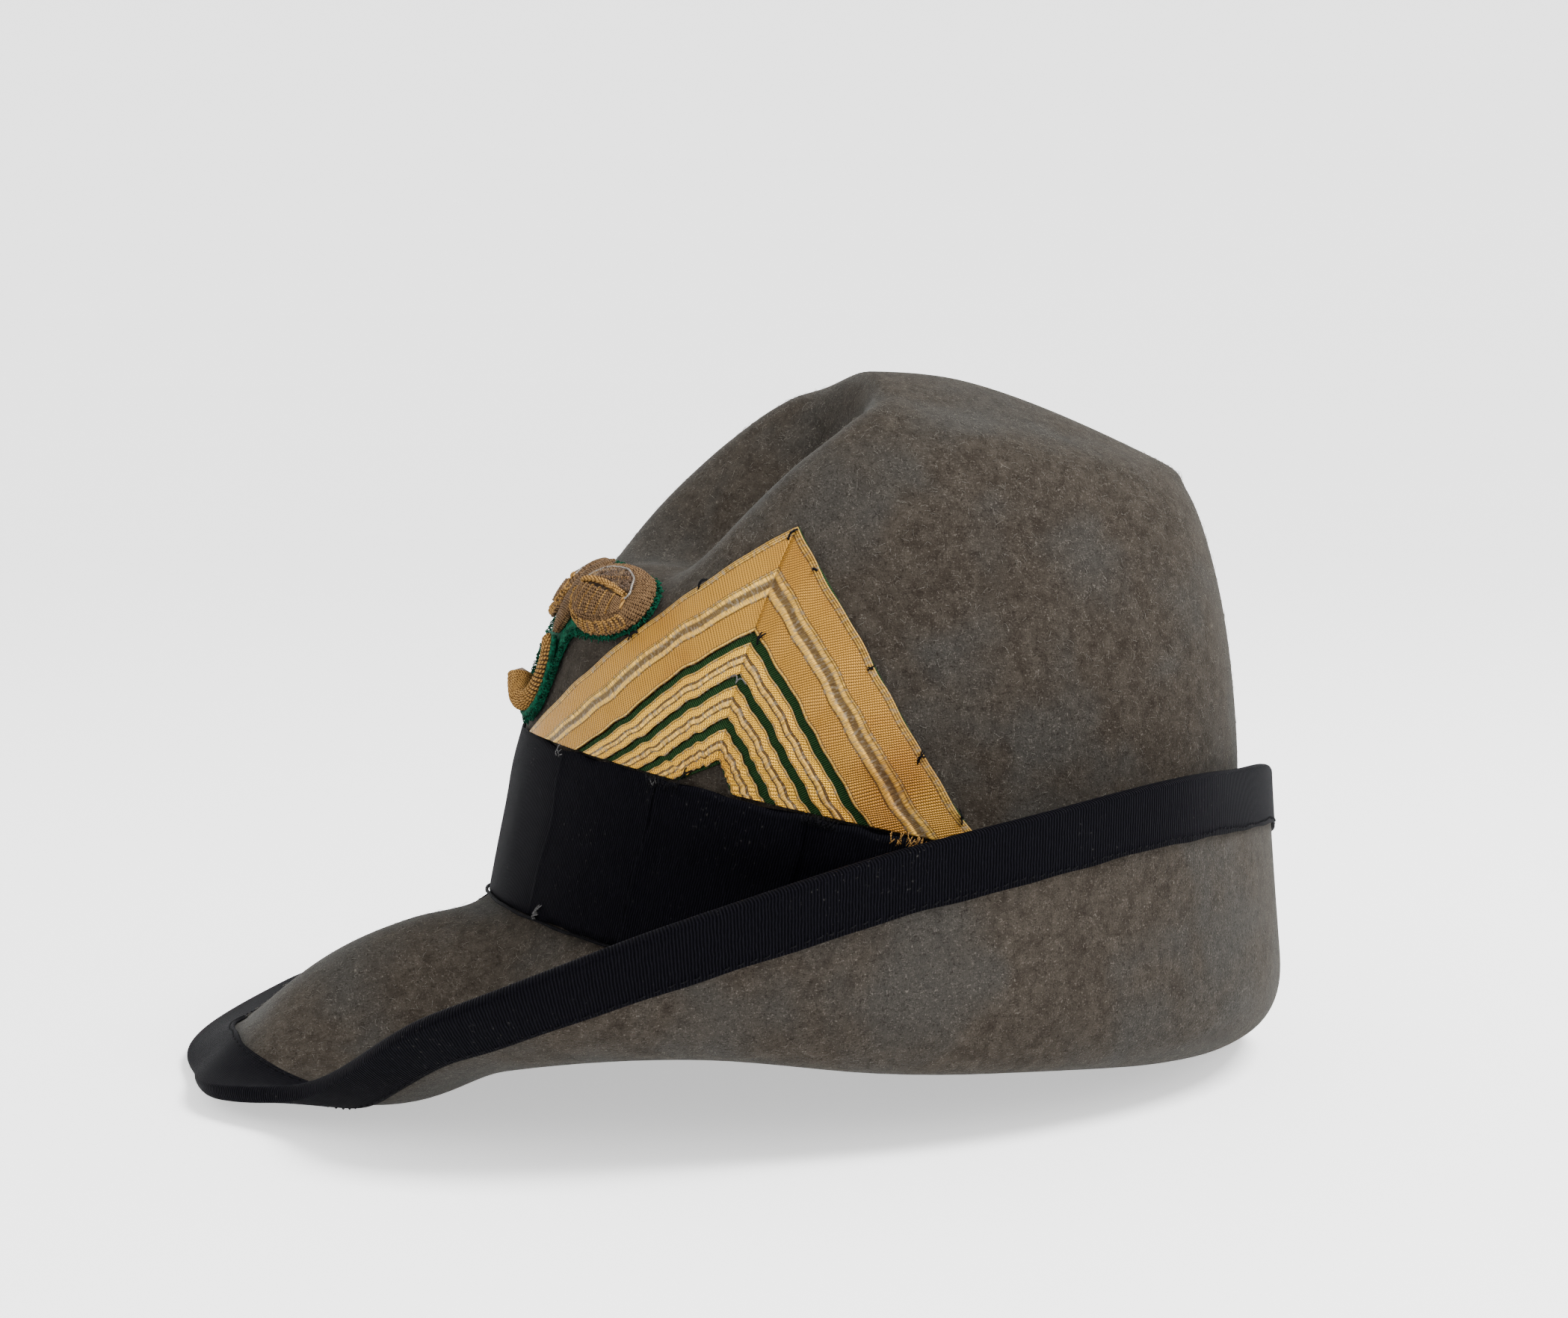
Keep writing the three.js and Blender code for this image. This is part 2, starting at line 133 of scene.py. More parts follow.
@dataclass
class Shell:
    """A closed mesh whose points lie on a grid of rows and columns.

    Attributes:
        name: the piece's name.
        points: grid of points, of shape (rows, columns, 3), in millimetres.
        cloth: position on the cloth at each point, of shape (rows, columns, 2), in
            millimetres. A direction that closes on itself has one row or column more.
        round_rows: the last row joins the first.
        round_columns: the last column joins the first.
        poles: points that close the first and the last row.
    """

    name: str
    points: Array
    cloth: Array
    round_rows: bool = False
    round_columns: bool = False
    poles: list[Array] = field(default_factory=list)

    def build(self) -> bpy.types.Object:
        """Make the mesh and its object, with faces turned outwards.

        Returns:
            The new object, linked to the scene at the origin.
        """
        rows, columns = self.points.shape[:2]
        down = np.arange(rows if self.round_rows else rows - 1)
        along = np.arange(columns if self.round_columns else columns - 1)
        i, j = (m.ravel() for m in np.meshgrid(down, along, indexing="ij"))
        corners = [(i, j), (i, j + 1), (i + 1, j + 1), (i + 1, j)]
        quads = np.stack([(r % rows) * columns + c % columns for r, c in corners], 1)
        places = np.stack([self.cloth[r, c] for r, c in corners], 1)
        points = self.points.reshape(-1, 3)
        loops, sizes = [quads.ravel()], [np.full(len(quads), 4)]
        cloth = [places.reshape(-1, 2)]
        if self.round_rows and not self.round_columns:
            ends, end_places = self._caps(rows, columns)
            loops.append(ends.ravel())
            sizes.append(np.full(len(ends), 4))
            cloth.append(end_places.reshape(-1, 2))
        for n, pole in enumerate(self.poles):
            fan, fan_places = self._fan(n, rows, columns, len(points))
            points = np.vstack([points, pole])
            loops.append(fan.ravel())
            sizes.append(np.full(len(fan), 3))
            cloth.append(fan_places.reshape(-1, 2))
        return make_object(
            self.name, points, np.concatenate(loops), np.concatenate(sizes), np.concatenate(cloth)
        )

    def _caps(self, rows: int, columns: int) -> tuple[Array, Array]:
        """Faces across both open ends of a band whose section closes on itself.

        Args:
            rows: number of points in the section, the second half running back.
            columns: number of sections.

        Returns:
            Corner indices of the faces and their places on the cloth.
        """
        near = np.arange(rows // 2 - 1)
        far = rows - 1 - near
        first = np.stack([near, near + 1, far - 1, far], 1)
        start = first * columns
        end = first[:, ::-1] * columns + columns - 1
        places = [self.cloth[first, 0], self.cloth[first[:, ::-1], columns - 1]]
        return np.vstack([start, end]), np.vstack(places)

    def _fan(self, n: int, rows: int, columns: int, pole: int) -> tuple[Array, Array]:
        """Triangles from a pole to the first row, or to the last one.

        Args:
            n: 0 for the first row and 1 for the last.
            rows: number of rows.
            columns: number of columns.
            pole: index of the pole's point.

        Returns:
            Corner indices of the triangles and their places on the cloth.
        """
        row = 0 if n == 0 else rows - 1
        j = np.arange(columns)
        k = (j + 1) % columns
        tip = np.full(columns, pole)
        base = row * columns
        ends = [tip, base + k, base + j] if n == 0 else [tip, base + j, base + k]
        middle = np.broadcast_to(self.cloth[row].mean(0), (columns, 2))
        near, far = self.cloth[row, j], self.cloth[row, j + 1]
        places = [middle, far, near] if n == 0 else [middle, near, far]
        return np.stack(ends, 1), np.stack(places, 1)


def make_object(
    name: str, points: Array, loops: Array, sizes: Array, cloth: Array
) -> bpy.types.Object:
    """Put arrays into a mesh, turn its faces outwards and link its object.

    The faces are turned round when the mesh's signed volume, the sum over its triangles
    of the triple product of their corners, is negative.

    Args:
        name: the object's name.
        points: points in millimetres.
        loops: point index of every face corner, face after face.
        sizes: number of corners of each face.
        cloth: position on the cloth of every face corner, in millimetres.

    Returns:
        The new object.
    """
    starts = np.concatenate([[0], np.cumsum(sizes)[:-1]])
    a, b, c = (points[loops[starts + k]] for k in (0, 1, 2))
    volume = np.einsum("ij,ij->", a, np.cross(b, c))
    four = starts[sizes == 4]
    a, b, c = (points[loops[four + k]] for k in (0, 2, 3))
    volume += np.einsum("ij,ij->", a, np.cross(b, c))
    if volume < 0:
        order = np.repeat(starts, sizes) + np.repeat(sizes, sizes) - 1
        order -= np.arange(len(loops)) - np.repeat(starts, sizes)
        loops, cloth = loops[order], cloth[order]
    mesh = bpy.data.meshes.new(name)
    mesh.vertices.add(len(points))
    mesh.vertices.foreach_set("co", (points * MILLIMETRE).astype(np.float32).ravel())
    mesh.loops.add(len(loops))
    mesh.loops.foreach_set("vertex_index", loops.astype(np.int32))
    mesh.polygons.add(len(sizes))
    mesh.polygons.foreach_set("loop_start", starts.astype(np.int32))
    mesh.polygons.foreach_set("use_smooth", np.ones(len(sizes), bool))
    mesh.update(calc_edges=True)
    layer = mesh.uv_layers.new(name="Cloth")
    layer.data.foreach_set("uv", cloth.astype(np.float32).ravel())
    mesh.validate()
    made = bpy.data.objects.new(name, mesh)
    bpy.context.scene.collection.objects.link(made)
    return made


def band_shell(name: str, outer: Array, inner: Array, cloth: Array, closed: bool) -> Shell:
    """A strip of cloth with thickness, from its outer and inner faces.

    Args:
        name: the piece's name.
        outer: grid of points across and along the outer face.
        inner: the same for the inner face.
        cloth: position on the cloth at each point of either face.
        closed: the strip runs round and joins itself. Its cloth grid then has one
            column more than its points.

    Returns:
        The shell, with its section running out across one face and back across the other.
    """
    points = np.concatenate([outer, inner[::-1]])
    places = np.concatenate([cloth, cloth[::-1], cloth[:1]])
    return Shell(name, points, places, round_rows=True, round_columns=closed)


def threads(
    name: str, paths: Array, radius: Array | float, sides: int, lift: Array | None = None
) -> bpy.types.Object:
    """Many thin round threads in one mesh, each closed at its ends.

    Round each point of a path stands a ring: the path's two side directions times the
    cosine and the sine of the turn, times the radius. The rings shrink to a point at
    both ends.

    Args:
        name: the piece's name.
        paths: points of the threads, of shape (threads, points, 3), in millimetres.
        radius: radius, one number or an array that fits (threads, points).
        sides: number of sides of a thread.
        lift: a direction that isn't along any thread; straight up when left out.

    Returns:
        The new object.
    """
    count, steps = paths.shape[:2]
    along = unit(np.gradient(paths, axis=1))
    up = np.broadcast_to(np.array([0.1, 0.2, 1.0]) if lift is None else lift, paths.shape)
    across = unit(np.cross(along, up))
    second = np.cross(along, across)
    turn = 2 * np.pi * np.arange(sides) / sides
    size = np.broadcast_to(radius, (count, steps))[..., None, None]
    ring = across[:, :, None] * np.cos(turn)[:, None] + second[:, :, None] * np.sin(turn)[:, None]
    body = (paths[:, :, None] + ring * size).reshape(count, -1, 3)
    tips = paths[:, [0, -1]] + along[:, [0, -1]] * size[:, [0, -1], 0] * [[-0.6], [0.6]]
    points = np.concatenate([body, tips], 1)
    i, j = (m.ravel() for m in np.meshgrid(np.arange(steps - 1), np.arange(sides), indexing="ij"))
    k = (j + 1) % sides
    quads = np.stack([i * sides + j, i * sides + k, (i + 1) * sides + k, (i + 1) * sides + j], 1)
    j = np.arange(sides)
    k = (j + 1) % sides
    last = (steps - 1) * sides
    first_fan = np.stack([np.full(sides, steps * sides), k, j], 1)
    last_fan = np.stack([np.full(sides, steps * sides + 1), last + j, last + k], 1)
    one = np.concatenate([quads.ravel(), first_fan.ravel(), last_fan.ravel()])
    sizes = np.concatenate([np.full(len(quads), 4), np.full(2 * sides, 3)])
    each = points.shape[1]
    loops = (one[None] + each * np.arange(count)[:, None]).ravel()
    length = np.cumsum(np.linalg.norm(np.diff(paths, axis=1, prepend=paths[:, :1]), axis=2), 1)
    places = np.stack([np.repeat(length, sides, 1), np.tile(np.arange(sides), (count, steps))], 2)
    ends = np.stack([length[:, [0, -1]], np.zeros((count, 2))], 2)
    cloth = np.concatenate([places, ends], 1).reshape(-1, 2)
    return make_object(name, points.reshape(-1, 3), loops, np.tile(sizes, count), cloth[loops])


# The hat's form


@dataclass(frozen=True)
class Crease:
    """The dent pressed into the top and the front of the crown, in millimetres.

    Attributes:
        depth: how deep it is pressed.
        half: half of its width.
        rear: where its rear end starts to fall.
        rear_fade: length over which its rear end falls.
        front: where its front end starts.
        front_fade: length over which its front end falls.
        lean: the direction of the press, in degrees back from straight down.
        low: height above the break where it starts.
        low_fade: height over which it reaches its depth.
    """

    depth: float = 30.6
    half: float = 27.7
    rear: float = -23.6
    rear_fade: float = 25.2
    front: float = -88.8
    front_fade: float = 21.8
    lean: float = 34.0
    low: float = 60.0
    low_fade: float = 40.0


@dataclass
class HatForm:
    """The felt's surface and the places on it, the same as the CAD solids' own.

    Attributes:
        felt: the felt's thickness.
        tilt: how far the break's oval leans back, in degrees.
        break_height: height of the break's centre above the table.
        half_width: half of the width of the break's oval.
        half_length: half of its length.
        centre: shift of the finished hat along X and Y.
        rings: crown rings as height, half width, front reach and rear reach.
        sections: brim sections every 20 degrees as width, angle at the crown, angle at
            the edge, start of the bend and length of the bend.
        crease: the dent in the crown.
    """

    felt: float = 2.2
    tilt: float = 12.96
    break_height: float = 24.57
    half_width: float = 83.7
    half_length: float = 93.0
    centre: tuple[float, float] = (10.59, 25.08)
    rings: tuple[tuple[float, ...], ...] = (
        (0, 83.7, 93, 93),
        (24, 84.5, 93, 100.5),
        (41, 88, 93.5, 102.5),
        (70.5, 83.8, 91.6, 99.4),
        (102, 76.4, 81.2, 90.3),
        (127, 65.3, 67.8, 80.1),
        (145.5, 50.7, 55.9, 68.9),
        (152.8, 32.3, 46.8, 57),
        (161.5, 0, 0, 0),
    )
    sections: tuple[tuple[float, ...], ...] = (
        (91.3, -14.7, -41.6, 17.7, 53.6),
        (92.7, -54.2, 17.2, 11.5, 84.1),
        (93.4, -30.1, 62.2, 16.5, 97),
        (94.1, -21.2, 71.8, 15.5, 71.9),
        (97.9, -20.9, 83.5, 15.9, 48.5),
        (98.7, -21.6, 87.4, 6.2, 49.3),
        (99.7, -14.5, 88.4, 3.3, 45.7),
        (99.3, -7.1, 95, 2.5, 49.4),
        (99.7, -8.5, 95, 3.3, 48.3),
        (99.2, -27.5, 90, 5, 42),
        (99.7, -8.5, 95, 3.3, 48.3),
        (99.3, -7.1, 95, 2.5, 49.4),
        (99.7, -14.5, 88.4, 3.3, 45.7),
        (97.4, -27.2, 76.5, 9.5, 51.8),
        (95.6, -37.3, 51.2, 16.9, 63.7),
        (94.4, -40.8, 12, 18.1, 73.3),
        (91, -44.9, -8.6, 7.7, 65.4),
        (91.2, -38.3, -18.3, 11.9, 65.9),
    )
    crease: Crease = Crease()

    def __post_init__(self) -> None:
        """Pad the tables for smooth curves, and tabulate height against ring place."""
        rings = np.array(self.rings, float)
        mirrored = rings[-2] * [1, -1, -1, -1]
        self._rings = np.vstack([2 * rings[0] - rings[1], rings, mirrored])
        rows = np.array(self.sections, float)
        self._sections = np.vstack([rows[-1], rows, rows[:2]])
        self._places = np.linspace(0, 1, 2001)
        self._heights = np.maximum.accumulate(self.ring(self._places)[..., 0])

    def ring(self, t: Array) -> Array:
        """Crown ring at t, from 0 at the break to 1 at the top."""
        return through(self._rings, np.clip(t, 0, 1) * (len(self.rings) - 1) + 1)

    def tilted(self, x: Array, y: Array, z: Array) -> Array:
        """Points from the break's own frame, turned about X and lifted."""
        c, s = math.cos(math.radians(self.tilt)), math.sin(math.radians(self.tilt))
        return np.stack([x, y * c + z * s, self.break_height - y * s + z * c], -1)

    def crown(self, azimuth: Array, t: Array) -> Array:
        """Crown surface: ovals whose front and rear halves differ, less the crease.

        The crease moves a point down and back by its depth, times a bell across the
        hat, times smooth steps along it and in height.

        Args:
            azimuth: degrees from the front.
            t: 0 at the break and 1 at the top.

        Returns:
            Points in millimetres.
        """
        height, half, front, rear = np.moveaxis(self.ring(t), -1, 0)
        angle = np.radians(azimuth)
        c = np.cos(angle)
        x = half * np.sin(angle)
        y = np.where(c > 0, -front * c, -rear * c)
        k = self.crease
        across = np.exp(-((np.abs(x) / k.half) ** 2.6))
        along = ease((k.rear - y) / k.rear_fade) * ease((y - k.front) / k.front_fade)
        press = k.depth * across * along * ease((height - k.low) / k.low_fade)
        lean = math.radians(k.lean)
        return self.tilted(x, y + press * math.sin(lean), height - press * math.cos(lean))

    def section(self, azimuth: Array) -> Array:
        """Brim section's five numbers at an azimuth."""
        step = 360 / len(self.sections)
        return through(self._sections, np.mod(azimuth, 360) / step + 1)

    def brim(self, azimuth: Array, v: Array) -> Array:
        """Brim surface: the section's direction turns smoothly along its width.

        Reach and rise are the sums, over short steps, of the cosine and the sine of
        the section's direction.

        Args:
            azimuth: degrees from the front.
            v: 0 at the break and 1 at the edge.

        Returns:
            Points in millimetres.
        """
        width, begin, end, start, length = np.moveaxis(self.section(azimuth), -1, 0)
        angle = np.radians(azimuth)
        zero = np.zeros_like(angle)
        foot = self.tilted(self.half_width * np.sin(angle), -self.half_length * np.cos(angle), zero)
        out = unit(np.stack([np.sin(angle) / self.half_width, -np.cos(angle) / self.half_length], -1))
        reach, rise = np.zeros_like(v), np.zeros_like(v)
        steps = 40
        step = v * width / steps
        for n in range(steps):
            turned = begin + (end - begin) * ease(((n + 0.5) * step - start) / length)
            reach = reach + np.cos(np.radians(turned)) * step
            rise = rise + np.sin(np.radians(turned)) * step
        return foot + np.concatenate([out * reach[..., None], rise[..., None]], -1)

    def sheet(self, azimuth: Array, s: Array) -> Array:
        """The felt as one sheet without thickness.

        Args:
            azimuth: degrees from the front.
            s: place down the felt.

        Returns:
            Points in millimetres.
        """
        azimuth, s = np.broadcast_arrays(np.asarray(azimuth, float), np.asarray(s, float))
        points = self.crown(azimuth, 1 - s)
        low = s > 1
        if low.any():
            points[low] = self.brim(azimuth[low], np.minimum(s[low] - 1, 1))
        return points

    def normal(self, azimuth: Array, s: Array) -> Array:
        """Outward direction: the cross product of the sheet's slopes down and round.

        Args:
            azimuth: degrees from the front.
            s: place down the felt.

        Returns:
            Directions of length one.
        """
        near = np.maximum(s, 0.02)
        round_ = self.sheet(azimuth + 0.6, near) - self.sheet(azimuth - 0.6, near)
        down = self.sheet(azimuth, np.minimum(near + 0.008, 2)) - self.sheet(azimuth, near - 0.008)
        return unit(np.cross(down, round_))

    def skin(self, azimuth: Array, s: Array, distance: Array, reach: Array | float = 0.0) -> Array:
        """Points at a distance from the felt's outer face, on or above the table.

        Args:
            azimuth: degrees from the front.
            s: place down the felt.
            distance: distance outwards, negative for inwards.
            reach: distance beyond the brim's edge.

        Returns:
            Points in millimetres, in the row frame.
        """
        azimuth, s = np.broadcast_arrays(np.asarray(azimuth, float), np.asarray(s, float))
        lift = self.felt * ease((s - 1) / 0.25) + distance
        points = self.sheet(azimuth, s) + self.normal(azimuth, s) * lift[..., None]
        if np.any(np.asarray(reach) > 0):
            edge = np.full_like(s, 2.0)
            along = unit(self.sheet(azimuth, edge) - self.sheet(azimuth, edge - 0.02))
            points = points + along * np.asarray(reach)[..., None]
        points = points + [*self.centre, 0.0]
        points[..., 2] = np.maximum(points[..., 2], 0.0)
        return points

    def place(self, height: Array) -> Array:
        """The s of a height above the break on the crown."""
        return 1 - np.interp(height, self._heights, self._places)

    def on_crown(self, azimuth: Array, height: Array, distance: Array | float) -> Array:
        """Points on the crown by azimuth and height above the break."""
        azimuth, height = np.broadcast_arrays(azimuth, height)
        return self.skin(azimuth, self.place(height), np.asarray(distance, float))


# Shader building


class Value:
    """A number that varies over a surface, with Python's operators."""

    def __init__(self, shader: "Shader", socket: bpy.types.NodeSocket) -> None:
        """Wrap one output socket."""
        self.shader = shader
        self.socket = socket

    def __add__(self, other: "Value | float") -> "Value":
        """Sum."""
        return self.shader.math("ADD", self, other)

    __radd__ = __add__

    def __sub__(self, other: "Value | float") -> "Value":
        """Difference."""
        return self.shader.math("SUBTRACT", self, other)

    def __rsub__(self, other: "Value | float") -> "Value":
        """Difference, with this value taken away."""
        return self.shader.math("SUBTRACT", other, self)

    def __mul__(self, other: "Value | float") -> "Value":
        """Product."""
        return self.shader.math("MULTIPLY", self, other)

    __rmul__ = __mul__

    def __truediv__(self, other: "Value | float") -> "Value":
        """Quotient."""
        return self.shader.math("DIVIDE", self, other)

    def __abs__(self) -> "Value":
        """Size without sign."""
        return self.shader.math("ABSOLUTE", self)

    def sine(self) -> "Value":
        """Sine of this value in radians."""
        return self.shader.math("SINE", self)

    def floor(self) -> "Value":
        """Whole part."""
        return self.shader.math("FLOOR", self)

    def between(self, low: float, high: float) -> "Value":
        """Smooth step from 0 at low to 1 at high."""
        return self.shader.smooth(self, low, high)


class Shader:
    """A material's node tree and the few ways in which nodes are added to it."""

    def __init__(self, name: str) -> None:
        """Start a material with only its output and its Principled shader.

        Args:
            name: the material's name.
        """
        self.material = bpy.data.materials.new(name)
        self.material.use_nodes = True
        self.tree = self.material.node_tree
        self.tree.nodes.clear()
        self.surface = self.node("ShaderNodeBsdfPrincipled")
        self.node("ShaderNodeOutputMaterial", {}, {"Surface": self.surface.outputs[0]})
        self.place = self.node("ShaderNodeTexCoord").outputs["Object"]
        self.cloth = self.node("ShaderNodeUVMap", {"uv_map": "Cloth"}).outputs[0]
        parts = self.node("ShaderNodeSeparateXYZ", {}, {0: self.cloth})
        self.along = Value(self, parts.outputs[0])
        self.across = Value(self, parts.outputs[1])

    def node(self, kind: str, settings: dict | None = None, sockets: dict | None = None) -> bpy.types.Node:
        """Add one node.

        Args:
            kind: the node's type.
            settings: its properties, set first. "stops" are a ramp's (place, colour) pairs.
            sockets: values or links of its inputs, by name or number.

        Returns:
            The node.
        """
        made = self.tree.nodes.new(kind)
        for key, value in (settings or {}).items():
            if key == "stops":
                ramp = made.color_ramp
                while len(ramp.elements) < len(value):
                    ramp.elements.new(0.5)
                for element, (place, colour) in zip(ramp.elements, value):
                    element.position, element.color = place, colour
            else:
                setattr(made, key, value)
        for key, value in (sockets or {}).items():
            link = value.socket if isinstance(value, Value) else value
            if isinstance(link, bpy.types.NodeSocket):
                self.tree.links.new(link, made.inputs[key])
            else:
                made.inputs[key].default_value = link
        return made

    def math(self, operation: str, *values: Value | float) -> Value:
        """One Math node."""
        made = self.node("ShaderNodeMath", {"operation": operation}, dict(enumerate(values)))
        return Value(self, made.outputs[0])

    def smooth(self, value: Value, low: float, high: float) -> Value:
        """Smooth step of a value from 0 at low to 1 at high.

        Args:
            value: the value.
            low: where the step starts.
            high: where it ends.

        Returns:
            The step.
        """
        sockets = {0: value, 1: low, 2: high, 3: 0.0, 4: 1.0}
        made = self.node("ShaderNodeMapRange", {"interpolation_type": "SMOOTHSTEP"}, sockets)
        return Value(self, made.outputs[0])

    def stretched(
        self, vector: bpy.types.NodeSocket, factors: tuple[float, float, float]
    ) -> bpy.types.NodeSocket:
        """A vector with each part multiplied by its own factor."""
        made = self.node("ShaderNodeVectorMath", {"operation": "MULTIPLY"}, {0: vector, 1: factors})
        return made.outputs[0]

    def noise(
        self,
        scale: float,
        detail: float = 2.0,
        vector: bpy.types.NodeSocket | None = None,
        distortion: float = 0.0,
    ) -> Value:
        """Noise from 0 to 1.

        Args:
            scale: features in one unit of the vector.
            detail: number of finer layers.
            vector: where it is read; the object's own coordinates when left out.
            distortion: how far the noise is drawn out into wisps.

        Returns:
            The noise's value.
        """
        sockets = {"Vector": vector or self.place, "Scale": scale, "Detail": detail}
        sockets["Distortion"] = distortion
        return Value(self, self.node("ShaderNodeTexNoise", {}, sockets).outputs[0])

    def ramp(self, value: Value, stops: tuple[tuple[float, Colour], ...]) -> bpy.types.Node:
        """Colour ramp over a value, with straight runs between its stops."""
        return self.node("ShaderNodeValToRGB", {"stops": stops}, {0: value})

    def blend(
        self,
        factor: Value | float,
        first: bpy.types.NodeSocket | Colour,
        second: bpy.types.NodeSocket | Colour,
        mode: str = "MIX",
    ) -> bpy.types.NodeSocket:
        """Colour between two colours."""
        settings = {"data_type": "RGBA", "blend_type": mode}
        return self.node("ShaderNodeMix", settings, {0: factor, 6: first, 7: second}).outputs[2]

    def finish(
        self,
        colour: bpy.types.NodeSocket,
        roughness: Value | float,
        height: Value,
        depth: float,
        constants: dict[str, object],
    ) -> bpy.types.Material:
        """Join colour, roughness and relief to the surface.

        Args:
            colour: base colour.
            roughness: roughness.
            height: relief from 0 to 1.
            depth: depth of the relief, in metres.
            constants: the shader's other inputs, the same all over.

        Returns:
            The finished material.
        """
        bump = self.node("ShaderNodeBump", {}, {"Strength": 1.0, "Distance": depth, "Height": height})
        links = {"Base Color": colour, "Roughness": roughness, "Normal": bump.outputs[0]}
        for key, value in {**links, **constants}.items():
            link = value.socket if isinstance(value, Value) else value
            if isinstance(link, bpy.types.NodeSocket):
                self.tree.links.new(link, self.surface.inputs[key])
            else:
                self.surface.inputs[key].default_value = link
        return self.material


def tone(red: float, green: float, blue: float) -> Colour:
    """A colour from linear red, green and blue."""
    return (red, green, blue, 1.0)


@dataclass(frozen=True)
class FeltFinish:
    """Fulled felt: brown and grey patches, wispy pale fibres with painted shade between them, and a soft
    sheen.
    """

    dark: Colour = tone(0.0150, 0.0117, 0.0088)
    light: Colour = tone(0.0370, 0.0312, 0.0248)
    grey: Colour = tone(0.0265, 0.0265, 0.0250)
    fibre: Colour = tone(0.125, 0.112, 0.095)
    # Painted shade: the colour put between the fibres, where the nap is low.
    shade: Colour = tone(0.0070, 0.0055, 0.0042)

    def build(self) -> bpy.types.Material:
        """Make the felt's material.

        Returns:
            The material.
        """
        made = Shader("felt")
        cloud = made.noise(16, 3)
        patch = made.noise(34, 2, distortion=0.4)
        mottle = made.noise(260, 3, distortion=0.6)
        wisps = made.noise(1500, 2, made.stretched(made.place, (1.0, 0.45, 1.0)), 2.2)
        cross = made.noise(1250, 2, made.stretched(made.place, (0.5, 1.0, 0.6)), 2.4)
        nap = wisps * 0.5 + cross * 0.5
        body = made.blend((cloud * 0.3 + mottle * 0.7).between(0.2, 0.8), self.dark, self.light)
        body = made.blend(patch.between(0.42, 0.72) * 0.55, body, self.grey)
        # Painted shade: darker where the nap's relief is low, between the fibres.
        body = made.blend(nap.between(0.52, 0.32) * 0.8, body, self.shade)
        body = made.blend(nap.between(0.55, 0.72) * 0.6, body, self.fibre)
        height = nap * 0.7 + mottle * 0.3
        constants = {
            "Sheen Weight": 0.07,
            "Sheen Roughness": 0.30,
            "Sheen Tint": tone(0.80, 0.85, 0.84),
            "Specular IOR Level": 0.02,
        }
        return made.finish(body, 0.95, height, 0.00045, constants)


@dataclass(frozen=True)
class RibbonFinish:
    """Black grosgrain: ribs across the ribbon with painted shade and sheen, threads along it, and a little
    dust.

    Attributes:
        name: the material's name.
        pitch: distance between ribs, in millimetres.
        relief: depth of the ribs, in metres.
        dark: colour between the ribs: painted shade in their hollows, mixed with the weft's tone.
        light: colour on the ribs: a painted bluish sheen on their crests.
        dust: colour of the dust.
    """

    name: str = "grosgrain"
    pitch: float = 0.85
    relief: float = 0.00022
    dark: Colour = tone(0.0006, 0.0006, 0.0010)
    light: Colour = tone(0.0034, 0.0033, 0.0048)
    dust: Colour = tone(0.022, 0.021, 0.020)

    def build(self) -> bpy.types.Material:
        """Make the ribbon's material.

        Returns:
            The material.
        """
        made = Shader(self.name)
        jitter = made.noise(0.35, 1, made.cloth) * 0.5
        rib = (((made.along + jitter) * (2 * math.pi / self.pitch)).sine() + 1) * 0.5
        weft = made.noise(1.0, 2, made.stretched(made.cloth, (1.2, 7.0, 1.0)))
        wear = made.noise(45, 3)
        # Painted light: darker in the hollows between the ribs and a bluish sheen on their crests, mixed
        # with the weft's own tone.
        body = made.blend((rib * 0.6 + weft * 0.4).between(0.25, 0.85), self.dark, self.light)
        specks = made.noise(1100, 1).between(0.68, 0.78) * wear.between(0.48, 0.70)
        body = made.blend(specks, body, self.dust)
        height = rib * 0.8 + weft * 0.2
        constants = {
            "Sheen Weight": 0.0015,
            "Sheen Roughness": 0.5,
            "Sheen Tint": tone(0.7, 0.75, 1.0),
            "Specular IOR Level": 0.01,
        }
        return made.finish(body, 0.70 - rib * 0.14, height, self.relief, constants)


class LaceKind(Enum):
    """The two widths of lace in the chevron."""

    WIDE = "wide"
    NARROW = "narrow"


GOLD_BEAD = tone(0.36, 0.180, 0.022)
GOLD_FRESH = tone(0.68, 0.375, 0.034)
# Painted highlight: the colour of the lace's raised lines and cords.
GOLD_RIDGE_HIGHLIGHT = tone(0.90, 0.54, 0.095)
GOLD_WORN = tone(0.150, 0.100, 0.036)
# Painted shade: the colour of the grooves beside the raised lines and of the weave's hollows.
GOLD_GROOVE_SHADE = tone(0.034, 0.014, 0.003)


@dataclass(frozen=True)
class LaceZones:
    """How a lace is woven across its width, all places being shares of the width.

    Attributes:
        kind: which lace it is.
        width: the lace's width in millimetres.
        stripes: places and their colours, from the outer edge inwards. The pale stripes on the raised lines
            are painted highlight, and the dark ones beside them painted shade.
        woven: places and how strongly the beads show there.
        ridges: middle, half width and height in millimetres of each raised line.
        slant: how far a row of beads leans along the lace, in beads for each millimetre.
    """

    kind: LaceKind
    width: float
    stripes: tuple[tuple[float, Colour], ...]
    woven: tuple[tuple[float, float], ...]
    ridges: tuple[tuple[float, float, float], ...]
    slant: float

    def profile(self, share: Array) -> Array:
        """Height across the lace: the sum of bells, one for each raised line.

        Args:
            share: place across the lace from 0 to 1.

        Returns:
            Height in millimetres.
        """
        bells = [height * np.exp(-(((share - m) / half) ** 2)) for m, half, height in self.ridges]
        return 0.05 + np.sum(bells, 0)


